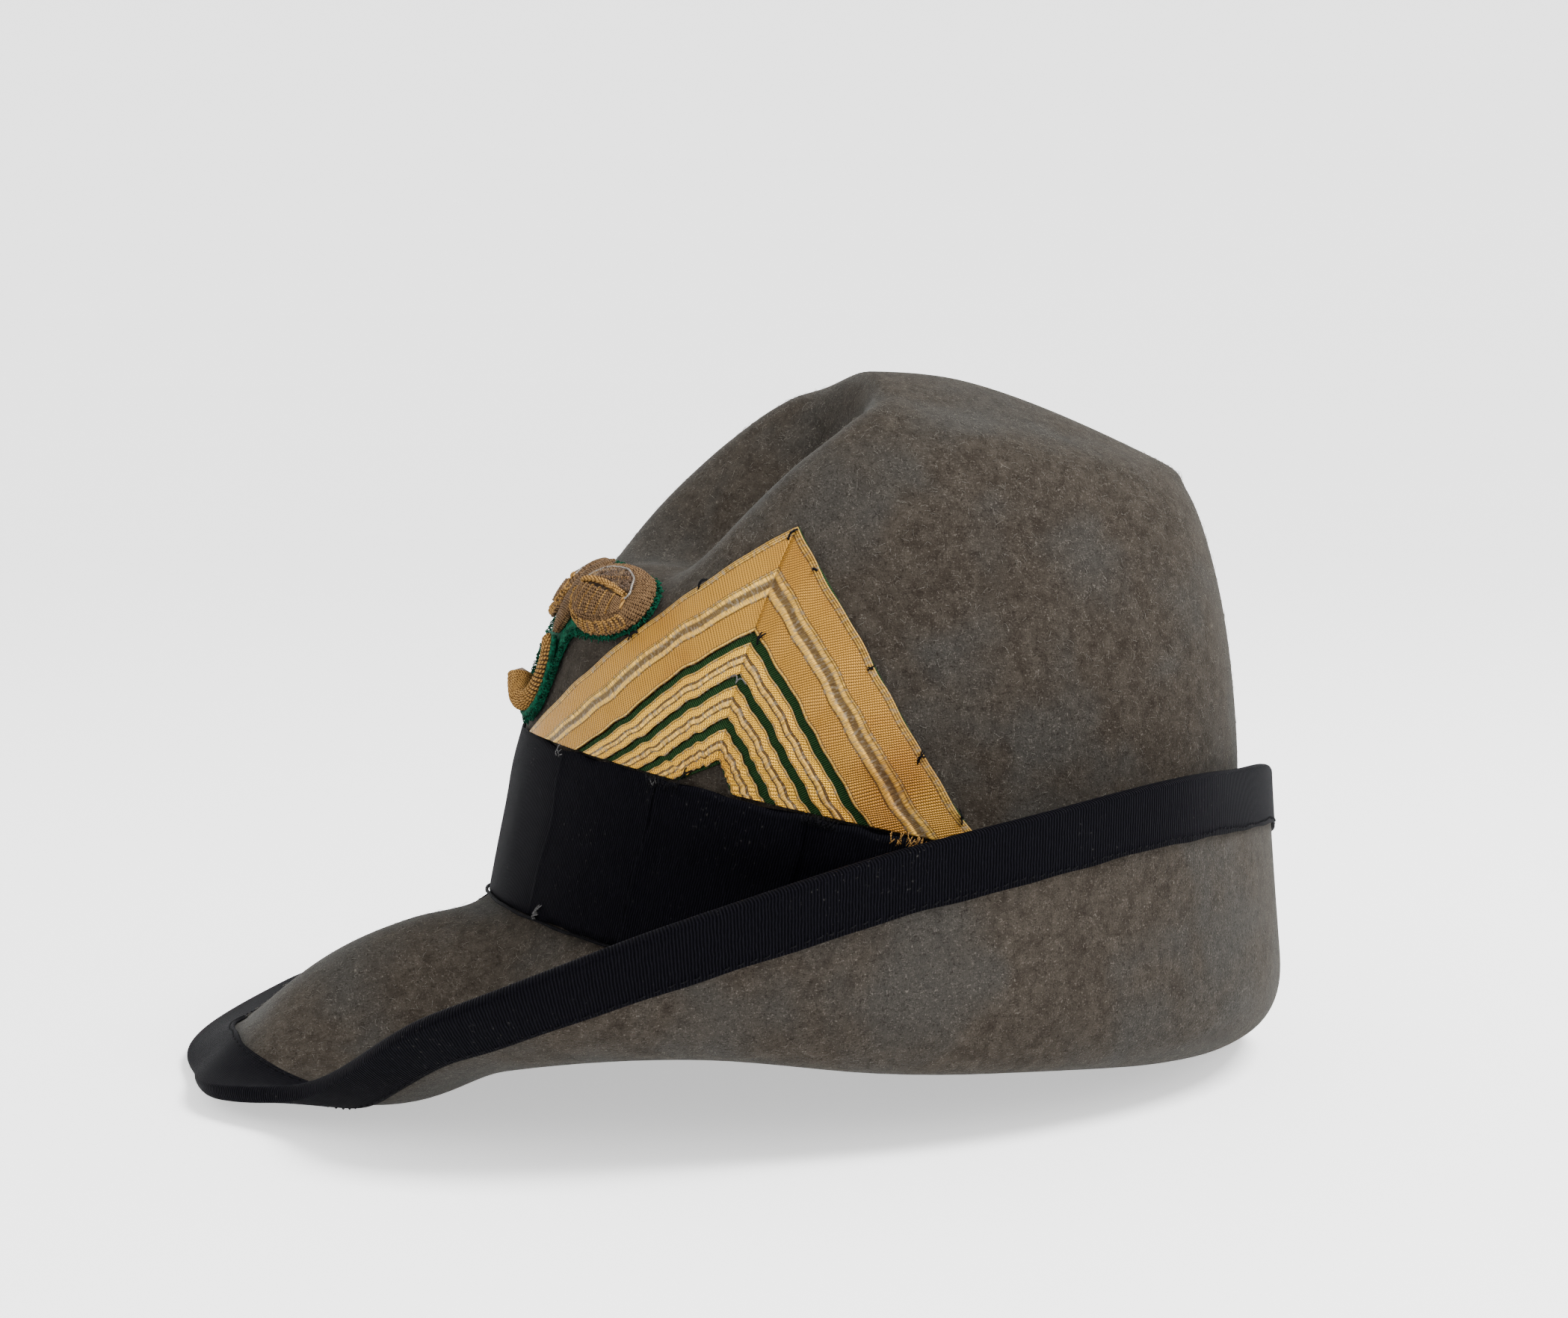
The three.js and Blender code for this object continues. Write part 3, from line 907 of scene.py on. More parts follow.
WIDE_LACE = LaceZones(
    LaceKind.WIDE,
    22.5,
    (
        (0.000, GOLD_RIDGE_HIGHLIGHT),
        (0.022, GOLD_GROOVE_SHADE),
        (0.036, GOLD_RIDGE_HIGHLIGHT),
        (0.052, GOLD_GROOVE_SHADE),
        (0.066, GOLD_RIDGE_HIGHLIGHT),
        (0.082, GOLD_GROOVE_SHADE),
        (0.094, GOLD_BEAD),
        (0.385, GOLD_BEAD),
        (0.398, GOLD_GROOVE_SHADE),
        (0.412, GOLD_RIDGE_HIGHLIGHT),
        (0.424, GOLD_GROOVE_SHADE),
        (0.440, GOLD_RIDGE_HIGHLIGHT),
        (0.475, GOLD_RIDGE_HIGHLIGHT),
        (0.500, GOLD_WORN),
        (0.570, GOLD_WORN),
        (0.590, GOLD_RIDGE_HIGHLIGHT),
        (0.645, GOLD_RIDGE_HIGHLIGHT),
        (0.662, GOLD_GROOVE_SHADE),
        (0.680, GOLD_BEAD),
        (0.950, GOLD_BEAD),
        (0.962, GOLD_GROOVE_SHADE),
        (0.978, GOLD_RIDGE_HIGHLIGHT),
        (1.000, GOLD_GROOVE_SHADE),
    ),
    (
        (0.090, 0.0), (0.105, 1.0), (0.385, 1.0), (0.400, 0.0),
        (0.665, 0.0), (0.680, 1.0), (0.955, 1.0), (0.970, 0.2),
    ),
    (
        (0.010, 0.014, 0.16),
        (0.042, 0.011, 0.14),
        (0.070, 0.011, 0.14),
        (0.412, 0.010, 0.22),
        (0.460, 0.024, 0.10),
        (0.535, 0.045, -0.14),
        (0.618, 0.030, 0.34),
        (0.980, 0.012, 0.14),
    ),
    0.35,
)
NARROW_LACE = LaceZones(
    LaceKind.NARROW,
    6.8,
    (
        (0.000, GOLD_GROOVE_SHADE),
        (0.035, GOLD_RIDGE_HIGHLIGHT),
        (0.075, GOLD_GROOVE_SHADE),
        (0.110, GOLD_FRESH),
        (0.330, GOLD_FRESH),
        (0.360, GOLD_GROOVE_SHADE),
        (0.395, GOLD_WORN),
        (0.440, GOLD_GROOVE_SHADE),
        (0.475, GOLD_RIDGE_HIGHLIGHT),
        (0.610, GOLD_RIDGE_HIGHLIGHT),
        (0.645, GOLD_GROOVE_SHADE),
        (0.680, GOLD_WORN),
        (0.710, GOLD_FRESH),
        (0.905, GOLD_FRESH),
        (0.935, GOLD_GROOVE_SHADE),
        (0.965, GOLD_RIDGE_HIGHLIGHT),
        (1.000, GOLD_GROOVE_SHADE),
    ),
    (
        (0.090, 0.0), (0.120, 1.0), (0.330, 1.0), (0.370, 0.0),
        (0.690, 0.0), (0.720, 1.0), (0.910, 1.0), (0.940, 0.0),
    ),
    (
        (0.035, 0.025, 0.12),
        (0.400, 0.025, 0.12),
        (0.545, 0.075, 0.36),
        (0.680, 0.022, 0.10),
        (0.965, 0.022, 0.12),
    ),
    0.9,
)


@dataclass(frozen=True)
class LaceFinish:
    """Woven gold lace: beaded zones, raised lines and a smooth worn centre, with painted highlight on the
    raised lines and painted shade in the grooves and the weave's hollows.

    Attributes:
        zones: how the lace is woven across its width.
        stain: colour that tarnish multiplies by.
        rear: colour that the duller rear arm is multiplied by.
        rib: distance between ribs, in millimetres.
        grain: distance between the beads of a rib, in millimetres.
    """

    zones: LaceZones
    stain: Colour = tone(0.62, 0.44, 0.30)
    rear: Colour = tone(0.68, 0.62, 0.56)
    rib: float = 0.70
    grain: float = 0.60

    def build(self) -> bpy.types.Material:
        """Make the lace's material.

        Returns:
            The material.
        """
        made = Shader(f"gold_lace_{self.zones.kind.value}")
        share = made.across / self.zones.width
        stripes = made.ramp(share, self.zones.stripes).outputs[0]
        grey = tuple((place, tone(value, value, value)) for place, value in self.zones.woven)
        woven = Value(made, made.ramp(share, grey).outputs[0])
        along = made.along + made.across * self.zones.slant * self.rib
        row = (along / self.rib).floor()
        ribs = abs((along * (math.pi / self.rib)).sine())
        beads = abs(((made.across / self.grain + row * 0.5) * math.pi).sine())
        weave = ribs * 0.55 + beads * 0.45
        hair = made.noise(1.0, 3, made.stretched(made.cloth, (5.0, 0.35, 1.0)))
        dashes = made.noise(1.0, 2, made.stretched(made.cloth, (1.4, 0.5, 1.0)))
        grain = weave * woven + (hair * 0.8 + 0.1) * (1 - woven)
        # Painted shade: where the weave's relief is low, the colour turns most of the way to the groove
        # colour.
        body = made.blend(grain.between(0.30, 0.76), made.blend(0.90, stripes, GOLD_GROOVE_SHADE), stripes)
        smooth = (1 - woven) * dashes.between(0.50, 0.66) * 0.7
        body = made.blend(smooth, body, tone(0.17, 0.14, 0.10))
        rear = made.along.between(-0.4, 0.4)
        body = made.blend(rear * 0.55, body, made.blend(1.0, body, self.rear, "MULTIPLY"))
        tarnish_and_highlight_patches = made.noise(38, 3)
        body = made.blend(tarnish_and_highlight_patches.between(0.47, 0.72) * 0.6, body, made.blend(1.0, body, self.stain, "MULTIPLY"))
        constants = {"Metallic": 0.35, "Specular IOR Level": 0.15}
        return made.finish(body, 0.55 - grain * 0.15, grain, 0.00022, constants)


@dataclass(frozen=True)
class RibbedClothFinish:
    """Green cloth of the chevron, with fine ribs across each stripe and painted shade between them."""

    # The dark colour is painted shade between the ribs, mixed with random fluff tone.
    dark: Colour = tone(0.0034, 0.0110, 0.0034)
    light: Colour = tone(0.0165, 0.0450, 0.0130)
    pitch: float = 0.52

    def build(self) -> bpy.types.Material:
        """Make the green cloth's material.

        Returns:
            The material.
        """
        made = Shader("green_cloth")
        rib = (((made.along) * (2 * math.pi / self.pitch)).sine() + 1) * 0.5
        fluff = made.noise(700, 3, distortion=0.8)
        # Partly painted shade: darker between the ribs, partly the fluff's random tone.
        body = made.blend((rib * 0.6 + fluff * 0.4).between(0.3, 0.75), self.dark, self.light)
        return made.finish(body, 0.9, rib * 0.7 + fluff * 0.3, 0.0002, {"Specular IOR Level": 0.08})


@dataclass(frozen=True)
class WoolFinish:
    """Fluffy dyed wool cloth and cord of the badge's ground."""

    dark: Colour = tone(0.0006, 0.0110, 0.0055)
    light: Colour = tone(0.0025, 0.0700, 0.0360)

    def build(self) -> bpy.types.Material:
        """Make the badge cloth's material.

        Returns:
            The material.
        """
        made = Shader("teal_wool")
        fluff = made.noise(900, 3, distortion=1.4)
        body = made.blend(fluff.between(0.3, 0.7), self.dark, self.light)
        return made.finish(body, 0.95, fluff, 0.0004, {"Specular IOR Level": 0.08})


@dataclass(frozen=True)
class BullionFinish:
    """Tarnished metal thread laid side by side, with painted shade between the threads and a painted
    highlight on their crowns.

    Attributes:
        name: the material's name.
        groove: colour between threads: painted shade in the hollows between them.
        thread: colour of the threads.
        bright: colour on the threads' crowns in random patches: a painted highlight.
        pitch: distance between threads, in millimetres.
        depth: depth of the relief, in metres.
    """

    name: str = "bullion"
    groove: Colour = tone(0.006, 0.0025, 0.001)
    thread: Colour = tone(0.085, 0.043, 0.017)
    bright: Colour = tone(0.32, 0.190, 0.075)
    pitch: float = 0.55
    depth: float = 0.00042

    def build(self) -> bpy.types.Material:
        """Make the metal thread's material.

        Returns:
            The material.
        """
        made = Shader(self.name)
        jitter = made.noise(0.6, 2, made.cloth) * 0.8
        lines = abs(((made.along + jitter) * (math.pi / self.pitch)).sine())
        tarnish_and_highlight_patches = made.noise(240, 3, distortion=0.5)
        spark = made.noise(1400, 2)
        # Painted shade: darker in the hollows between the threads.
        body = made.blend((lines + spark * 0.3 - 0.15).between(0.15, 0.8), self.groove, self.thread)
        # Painted highlight: lighter on the threads' crowns, in random patches.
        body = made.blend(tarnish_and_highlight_patches.between(0.50, 0.72) * lines * 0.9, body, self.bright)
        height = lines * 0.75 + spark * 0.25
        constants = {"Metallic": 0.35, "Specular IOR Level": 0.5}
        return made.finish(body, 0.5 + tarnish_and_highlight_patches * 0.15, height, self.depth, constants)


@dataclass(frozen=True)
class ThreadFinish:
    """Thread of one colour with a slight twist.

    Attributes:
        name: the material's name.
        colour: colour in the twist's grooves, partly painted shade.
        twist: colour on its ridges, partly a painted highlight.
        metal: how metallic it is.
    """

    name: str
    colour: Colour
    twist: Colour
    metal: float = 0.0

    def build(self) -> bpy.types.Material:
        """Make the thread's material.

        Returns:
            The material.
        """
        made = Shader(self.name)
        lay = (((made.along * 9.0 + made.across * 1.2)).sine() + 1) * 0.5
        fluff = made.noise(900, 2)
        # Partly painted light: darker in the twist's grooves and lighter on its ridges, mixed with random
        # fluff tone.
        body = made.blend((lay * 0.45 + fluff * 0.55).between(0.2, 0.8), self.colour, self.twist)
        constants = {"Specular IOR Level": 0.05 + self.metal * 0.4, "Metallic": self.metal}
        return made.finish(body, 0.8 - self.metal * 0.4, lay, 0.00005, constants)


@dataclass
class Wardrobe:
    """Every finish, made once."""

    felt: bpy.types.Material = field(init=False)
    binding: bpy.types.Material = field(init=False)
    band: bpy.types.Material = field(init=False)
    lace: dict[LaceKind, bpy.types.Material] = field(init=False)
    green: bpy.types.Material = field(init=False)
    wool: bpy.types.Material = field(init=False)
    bullion: bpy.types.Material = field(init=False)
    dark_thread: bpy.types.Material = field(init=False)
    pale_thread: bpy.types.Material = field(init=False)
    gold_thread: bpy.types.Material = field(init=False)
    satin_thread: bpy.types.Material = field(init=False)
    wire: bpy.types.Material = field(init=False)
    fuzz: bpy.types.Material = field(init=False)

    def __post_init__(self) -> None:
        """Build the materials."""
        self.felt = FeltFinish().build()
        # Both ribbons carry painted shade between their ribs and a painted bluish sheen on them; the band
        # passes its own, darker shade colour.
        self.binding = RibbonFinish("grosgrain_binding", 0.85, 0.00024).build()
        self.band = RibbonFinish("grosgrain_band", 0.62, 0.00012, tone(0.0007, 0.0007, 0.0012)).build()
        self.lace = {z.kind: LaceFinish(z).build() for z in (WIDE_LACE, NARROW_LACE)}
        self.green = RibbedClothFinish().build()
        self.wool = WoolFinish().build()
        self.bullion = BullionFinish().build()
        # Each thread's first colour is partly painted shade in its twist's grooves, and its second partly a
        # painted highlight on its ridges.
        self.dark_thread = ThreadFinish(
            "black_thread", tone(0.0010, 0.0010, 0.0014), tone(0.0050, 0.0050, 0.0060)
        ).build()
        self.pale_thread = ThreadFinish(
            "pale_thread", tone(0.040, 0.039, 0.040), tone(0.110, 0.108, 0.106)
        ).build()
        self.gold_thread = ThreadFinish(
            "gold_thread", tone(0.050, 0.022, 0.006), tone(0.300, 0.165, 0.048)
        ).build()
        self.satin_thread = ThreadFinish(
            "satin_thread", tone(0.016, 0.008, 0.004), tone(0.150, 0.088, 0.042)
        ).build()
        self.wire = ThreadFinish(
            "silver_wire", tone(0.070, 0.058, 0.046), tone(0.300, 0.275, 0.240), 0.6
        ).build()
        self.fuzz = ThreadFinish(
            "felt_fibre", tone(0.050, 0.045, 0.038), tone(0.140, 0.130, 0.112)
        ).build()


def cut_flat(
    piece: bpy.types.Object
) -> None:
    """Read the areas of a piece's faces and its cloth coordinates; nothing further is done with them.
    The cut's width is the span of the cloth coordinates across it, and its length is half of the
    mesh's area, which has two faces, over that width.

    Args:
        piece: the ribbon or cloth.
    """
    mesh = piece.data
    sizes = np.zeros(len(mesh.polygons), np.float32)
    mesh.polygons.foreach_get("area", sizes)
    places = np.zeros(2 * len(mesh.loops), np.float32)
    mesh.uv_layers["Cloth"].data.foreach_get("uv", places)


def dress(
    piece: bpy.types.Object, material: bpy.types.Material, slot: str, *nodes: str
) -> bpy.types.Object:
    """Give a piece its material and place it in the frame.

    Args:
        piece: the object.
        material: its material.
        slot: name of a material slot; not used.
        nodes: CAD nodes that it stands for.

    Returns:
        The same object.
    """
    piece.data.materials.append(material)
    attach(piece, BODY)
    if nodes:
        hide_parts(*nodes)
    log.info("%s: %d faces", piece.name, len(piece.data.polygons))
    return piece


# Sub-assemblies


@dataclass
class FeltBody:
    """Crown and brim as one felt shell.

    Attributes:
        form: the hat's form.
        columns: points round the hat.
        crown_rows: rows of points on the crown.
        brim_rows: rows of points on the brim.
    """

    form: HatForm
    columns: int = 300
    crown_rows: int = 108
    brim_rows: int = 52

    def rows(self) -> Array:
        """Places down the felt, evenly spaced along the side of the crown.

        Returns:
            Places down the felt.
        """
        s = np.linspace(0, 1, 1201)
        line = self.form.sheet(np.full_like(s, 150.0), s)
        length = np.concatenate([[0], np.cumsum(np.linalg.norm(np.diff(line, axis=0), axis=1))])
        even = np.linspace(0, length[-1], self.crown_rows + 1)[1:]
        crown = np.interp(even, length, s)
        return np.concatenate([crown, np.linspace(1, 2, self.brim_rows + 1)[1:]])

    def pressed(self, azimuth: Array, s: Array) -> Array:
        """Depth of a crescent-shaped line pressed into the peak, near the edge's ribbon.

        It is a bell across the line s = 1.845 less 0.00045 times the square of the
        azimuth from 1 degree, times a smooth fall at either end.

        Args:
            azimuth: degrees from the front.
            s: place down the felt.

        Returns:
            Depth in millimetres.
        """
        turn = np.mod(azimuth + 180, 360) - 181
        line = 1.845 - 0.00045 * turn**2
        bell = np.exp(-(((s - line) / 0.014) ** 2)) + 0.35 * np.exp(-(((s - line - 0.05) / 0.03) ** 2))
        return 0.55 * bell * ease((16 - np.abs(turn)) / 6)

    def fuzz(self, wardrobe: Wardrobe) -> None:
        """Loose felt fibres that stand off the outer face, seeded all over it.

        Each fibre starts on the felt and runs off along a random direction in its
        surface, while it rises by up to a third of its length and curls to one side.

        Args:
            wardrobe: the finishes.
        """
        draw = np.random.default_rng(71)
        count = 7500
        azimuth = draw.uniform(0, 360, count)
        on_crown = draw.random(count) < 0.62
        s = np.where(on_crown, draw.uniform(0.1, 0.98, count), draw.uniform(1.04, 1.80, count))
        foot = self.form.skin(azimuth, s, -0.02)
        out = self.form.normal(azimuth, s)
        side = unit(np.cross(out, draw.normal(size=(count, 3))))
        bend = np.cross(out, side)
        length = draw.uniform(0.7, 2.0, count)[:, None, None]
        rise = draw.uniform(0.1, 0.36, count)[:, None, None]
        curl = draw.uniform(-0.5, 0.5, count)[:, None, None]
        part = np.linspace(0, 1, 4)[None, :, None]
        path = foot[:, None] + length * (
            side[:, None] * part + out[:, None] * rise * np.sin(part * 2.2) + bend[:, None] * curl * part**2
        )
        path[..., 2] = np.maximum(path[..., 2], 0.05)
        piece = threads("felt_fuzz_fibres", path, 0.045, 3, out[:, None])
        dress(piece, wardrobe.fuzz, "felt")

    def build(self, wardrobe: Wardrobe) -> None:
        """Make the shell: outer face down to the edge, then the inner face back up.

        Args:
            wardrobe: the finishes.
        """
        s, azimuth = self.rows(), 360 * np.arange(self.columns) / self.columns
        grid_s, grid_a = np.meshgrid(s, azimuth, indexing="ij")
        pressed = self.pressed(grid_a, grid_s)
        outer = self.form.skin(grid_a, grid_s, -pressed)
        inner = self.form.skin(grid_a, grid_s, -self.form.felt - pressed)
        top = self.form.sheet(0.0, 0.0) + [*self.form.centre, 0.0]
        points = np.concatenate([outer, inner[::-1]])
        rows = np.concatenate([s, s[::-1]])
        turns = 360 * np.arange(self.columns + 1) / self.columns
        cloth = np.stack(np.meshgrid(rows, turns, indexing="ij")[::-1], -1)
        poles = [top, top - [0, 0, self.form.felt]]
        shell = Shell("felt_hat_body", points, cloth, round_columns=True, poles=poles)
        dress(shell.build(), wardrobe.felt, "felt", "felt_body")
        self.fuzz(wardrobe)


@dataclass
class BrimBinding:
    """Ribbon folded over the brim's edge and stitched along both legs.

    Attributes:
        form: the hat's form.
        leg: width of each leg.
        gap: clearance to the felt.
        ribbon: the ribbon's thickness.
        columns: sections round the hat.
        stitches: number of stitches round the hat.
    """

    form: HatForm
    leg: float = 15.0
    gap: float = 0.25
    ribbon: float = 0.75
    columns: int = 540
    stitches: int = 300

    def section(self, azimuth: Array, reach: float, out: float) -> Array:
        """One face of the folded ribbon, from the top leg round the edge to the other.

        Args:
            azimuth: degrees from the front.
            reach: distance beyond the felt's edge.
            out: distance from the felt's faces.

        Returns:
            Points of shape (across, azimuths, 3).
        """
        width = self.form.section(azimuth)[..., 0]
        wave = 1 + 0.014 * waver(azimuth, 5, (7, 13, 23, 41))
        share = np.linspace(0, 1, 12)[:, None]
        s = 2 - (1 - share) * self.leg * wave / width
        felt = self.form.felt
        turn = np.linspace(0, np.pi, 9)[1:-1, None]
        round_ = np.broadcast_to(azimuth, (len(turn), len(azimuth)))
        half = felt / 2 + out
        edge = self.form.skin(round_, 2.0, -felt / 2 + half * np.cos(turn), reach * np.sin(turn))
        upper = self.form.skin(azimuth, s, out)
        lower = self.form.skin(azimuth, s[::-1], -felt - out)
        return np.concatenate([upper, edge, lower])

    def build(self, wardrobe: Wardrobe) -> None:
        """Make the folded ribbon and its stitches.

        Args:
            wardrobe: the finishes.
        """
        azimuth = 360 * np.arange(self.columns) / self.columns
        far = self.gap + self.ribbon
        outer = self.section(azimuth, far, far)
        inner = self.section(azimuth, self.gap, self.gap)
        along = lengths_round(outer[len(outer) // 2])
        across = np.cumsum(np.linalg.norm(np.diff(outer[:, 0], axis=0, prepend=outer[:1, 0]), axis=1))
        cloth = np.stack(np.meshgrid(across, along, indexing="ij")[::-1], -1)
        shell = band_shell("brim_edge_binding", outer, inner, cloth, True)
        ribbon = dress(shell.build(), wardrobe.binding, "black_ribbon", "brim_binding")
        cut_flat(ribbon)
        self.sew(wardrobe)

    def sew(self, wardrobe: Wardrobe) -> None:
        """Short stitches that sink into the ribbon a little inside each leg's edge.

        Args:
            wardrobe: the finishes.
        """
        azimuth = 360 * (np.arange(self.stitches) + 0.5) / self.stitches
        azimuth = azimuth + 0.18 * waver(azimuth, 11, (17, 29, 53))
        width = self.form.section(azimuth)[..., 0]
        share = np.linspace(-1, 1, 5)
        angle = azimuth[:, None] + 0.34 * share
        inset = (self.leg - 1.2 - 0.25 * waver(azimuth, 12, (19, 31, 61))) / width
        s = 2 - inset[:, None] + 0.002 * share
        height = self.gap + self.ribbon + 0.22 - 0.42 * share**2
        upper = self.form.skin(angle, s, height)
        lower = self.form.skin(angle, s, -self.form.felt - height)
        paths = np.concatenate([upper, lower])
        piece = threads("binding_stitches", paths, 0.17, 6)
        dress(piece, wardrobe.dark_thread, "black_ribbon")


@dataclass
class HatBand:
    """Ribbon round the foot of the crown, with the flat bow on the wearer's left.

    Attributes:
        form: the hat's form.
        low: lower edge above the break.
        high: upper edge above the break.
        gap: clearance to the felt.
        ribbon: the ribbon's thickness.
        columns: sections round the hat.
        rows: points across the band.
    """

    form: HatForm
    low: float = 1.5
    high: float = 46.0
    gap: float = 0.3
    ribbon: float = 0.7
    columns: int = 420
    rows: int = 22

    def build(self, wardrobe: Wardrobe) -> None:
        """Make the band, then the bow's three pieces.

        Args:
            wardrobe: the finishes.
        """
        azimuth = 360 * np.arange(self.columns) / self.columns
        share = np.linspace(0, 1, self.rows)[:, None]
        low = self.low + 0.35 * waver(azimuth, 21, (5, 11, 19))
        high = self.high + 0.45 * waver(azimuth, 22, (4, 9, 17, 27))
        height = low + (high - low) * share
        angle = np.broadcast_to(azimuth, height.shape)
        sag = 0.25 * np.sin(np.pi * share) * (1 + waver(azimuth, 23, (6, 14, 22)))
        outer = self.form.on_crown(angle, height, self.gap + self.ribbon + sag)
        inner = self.form.on_crown(angle, height, self.gap)
        along = lengths_round(outer[self.rows // 2])
        across = share[:, 0] * (self.high - self.low)
        cloth = np.stack(np.meshgrid(across, along, indexing="ij")[::-1], -1)
        shell = band_shell("crown_band", outer, inner, cloth, True)
        ribbon = dress(shell.build(), wardrobe.band, "black_ribbon", "hat_band")
        cut_flat(ribbon)
        self.bow(wardrobe, "bow_front_loop_ribbon", "bow_front_loop", (16.8, 39.6), 0.9, 31)
        self.bow(wardrobe, "bow_knot_ribbon", "bow_knot", (39.4, 64.8), 1.5, 32)
        self.bow(wardrobe, "bow_rear_loop_ribbon", "bow_rear_loop", (64.4, 82.5), 0.9, 33)
        self.cord(wardrobe)
        self.flaps(wardrobe)

    def cord(self, wardrobe: Wardrobe) -> None:
        """Thin cord sewn along the band's lower edge, with a thread knot at the front.

        Args:
            wardrobe: the finishes.
        """
        azimuth = np.arange(0, 360.5, 0.75)
        height = 1.15 + 0.25 * waver(azimuth, 24, (7, 15, 31))
        path = self.form.on_crown(azimuth, height, self.gap + self.ribbon + 0.55)
        piece = threads("band_edge_cord", path[None], 0.48, 8)
        dress(piece, wardrobe.dark_thread, "black_ribbon")
        draw = np.random.default_rng(25)
        count, loose = 14, 3
        part = np.linspace(0, 1, 7)
        start = draw.uniform(-1.1, 1.1, (count, 2))
        stray = np.where(np.arange(count)[:, None] < loose, [[1.4, 2.6]], 0.0)
        end = draw.uniform(-1.1, 1.1, (count, 2)) + stray
        place = start[:, None] + (end - start)[:, None] * part[:, None]
        lift = self.gap + self.ribbon + 1.0 + 0.8 * np.sin(np.pi * part)
        turn, height = 19.2 + place[..., 0] / 1.6, 2.4 + place[..., 1]
        knot = self.form.on_crown(turn, height, np.broadcast_to(lift, turn.shape))
        dress(threads("band_thread_knot", knot, 0.16, 5), wardrobe.pale_thread, "black_ribbon")

    def flaps(self, wardrobe: Wardrobe) -> None:
        """Frayed ends of the bow's folds: loose threads over the upper edge of the band."""
        draw = np.random.default_rng(26)
        for name, azimuth, spread, material in (
            ("front_flap_threads", 41.0, 3.0, wardrobe.dark_thread),
            ("rear_flap_threads", 66.5, 2.4, wardrobe.dark_thread),
            ("loop_end_threads", 80.5, 3.2, wardrobe.gold_thread),
            ("front_tack_threads", 39.6, 0.3, wardrobe.pale_thread),
            ("loop_tack_threads", 17.4, 0.3, wardrobe.pale_thread),
        ):
            count = 4 if material is wardrobe.pale_thread else 34
            turn = azimuth + draw.uniform(-spread, spread, count)
            start = np.stack([turn, draw.uniform(43.6, 45.0, count)], -1)
            way = np.stack([draw.uniform(-1.2, 1.2, count), draw.uniform(0.6, 2.6, count)], -1)
            part = np.linspace(0, 1, 5)[None, :, None]
            place = start[:, None] + way[:, None] * part * [0.6, 1.0]
            lift = self.gap + self.ribbon + 2.6 + draw.uniform(-0.2, 0.5, count)[:, None]
            lift = lift + 0.5 * np.sin(np.pi * part[..., 0])
            path = self.form.on_crown(place[..., 0], place[..., 1], lift)
            dress(threads(name, path, 0.13, 5), material, "black_ribbon")

    def bow(
        self, wardrobe: Wardrobe, name: str, node: str, ends: tuple[float, float], rise: float, seed: int
    ) -> None:
        """One flat piece of the bow: thicker along its folded ends, with wavy edges.

        Args:
            wardrobe: the finishes.
            name: the piece's name.
            node: the CAD node that it stands for.
            ends: azimuths of its two ends.
            rise: its thickness.
            seed: picks its unevenness.
        """
        share = np.linspace(0, 1, 25)[:, None]
        turn = np.linspace(0, 1, 41)[None]
        height = self.low + 0.5 + share * (self.high - self.low - 0.6)
        height = height + 0.4 * waver(turn * 120, seed, (2, 5, 9)) * (2 * share - 1)
        bend = 0.5 * waver(share * 100, seed + 10, (2, 3, 7))
        start, end = ends[0] + bend, ends[1] + bend * 0.4
        angle = start + (end - start) * turn
        fold = np.exp(-((turn / 0.06) ** 2)) + np.exp(-(((1 - turn) / 0.06) ** 2))
        puff = rise * (0.75 + 0.25 * fold) + 0.3 * np.sin(np.pi * turn) * waver(share * 90, seed, (1, 3))
        height, puff = np.broadcast_arrays(height, puff)
        under = self.gap + self.ribbon + 0.45
        outer = self.form.on_crown(angle, height, under + np.maximum(puff, 0.5))
        inner = self.form.on_crown(angle, height, np.full_like(height, under))
        cloth = np.stack([angle * 1.5, height], -1)
        shell = band_shell(name, outer, inner, cloth, False)
        cut_flat(dress(shell.build(), wardrobe.band, "black_ribbon", node))


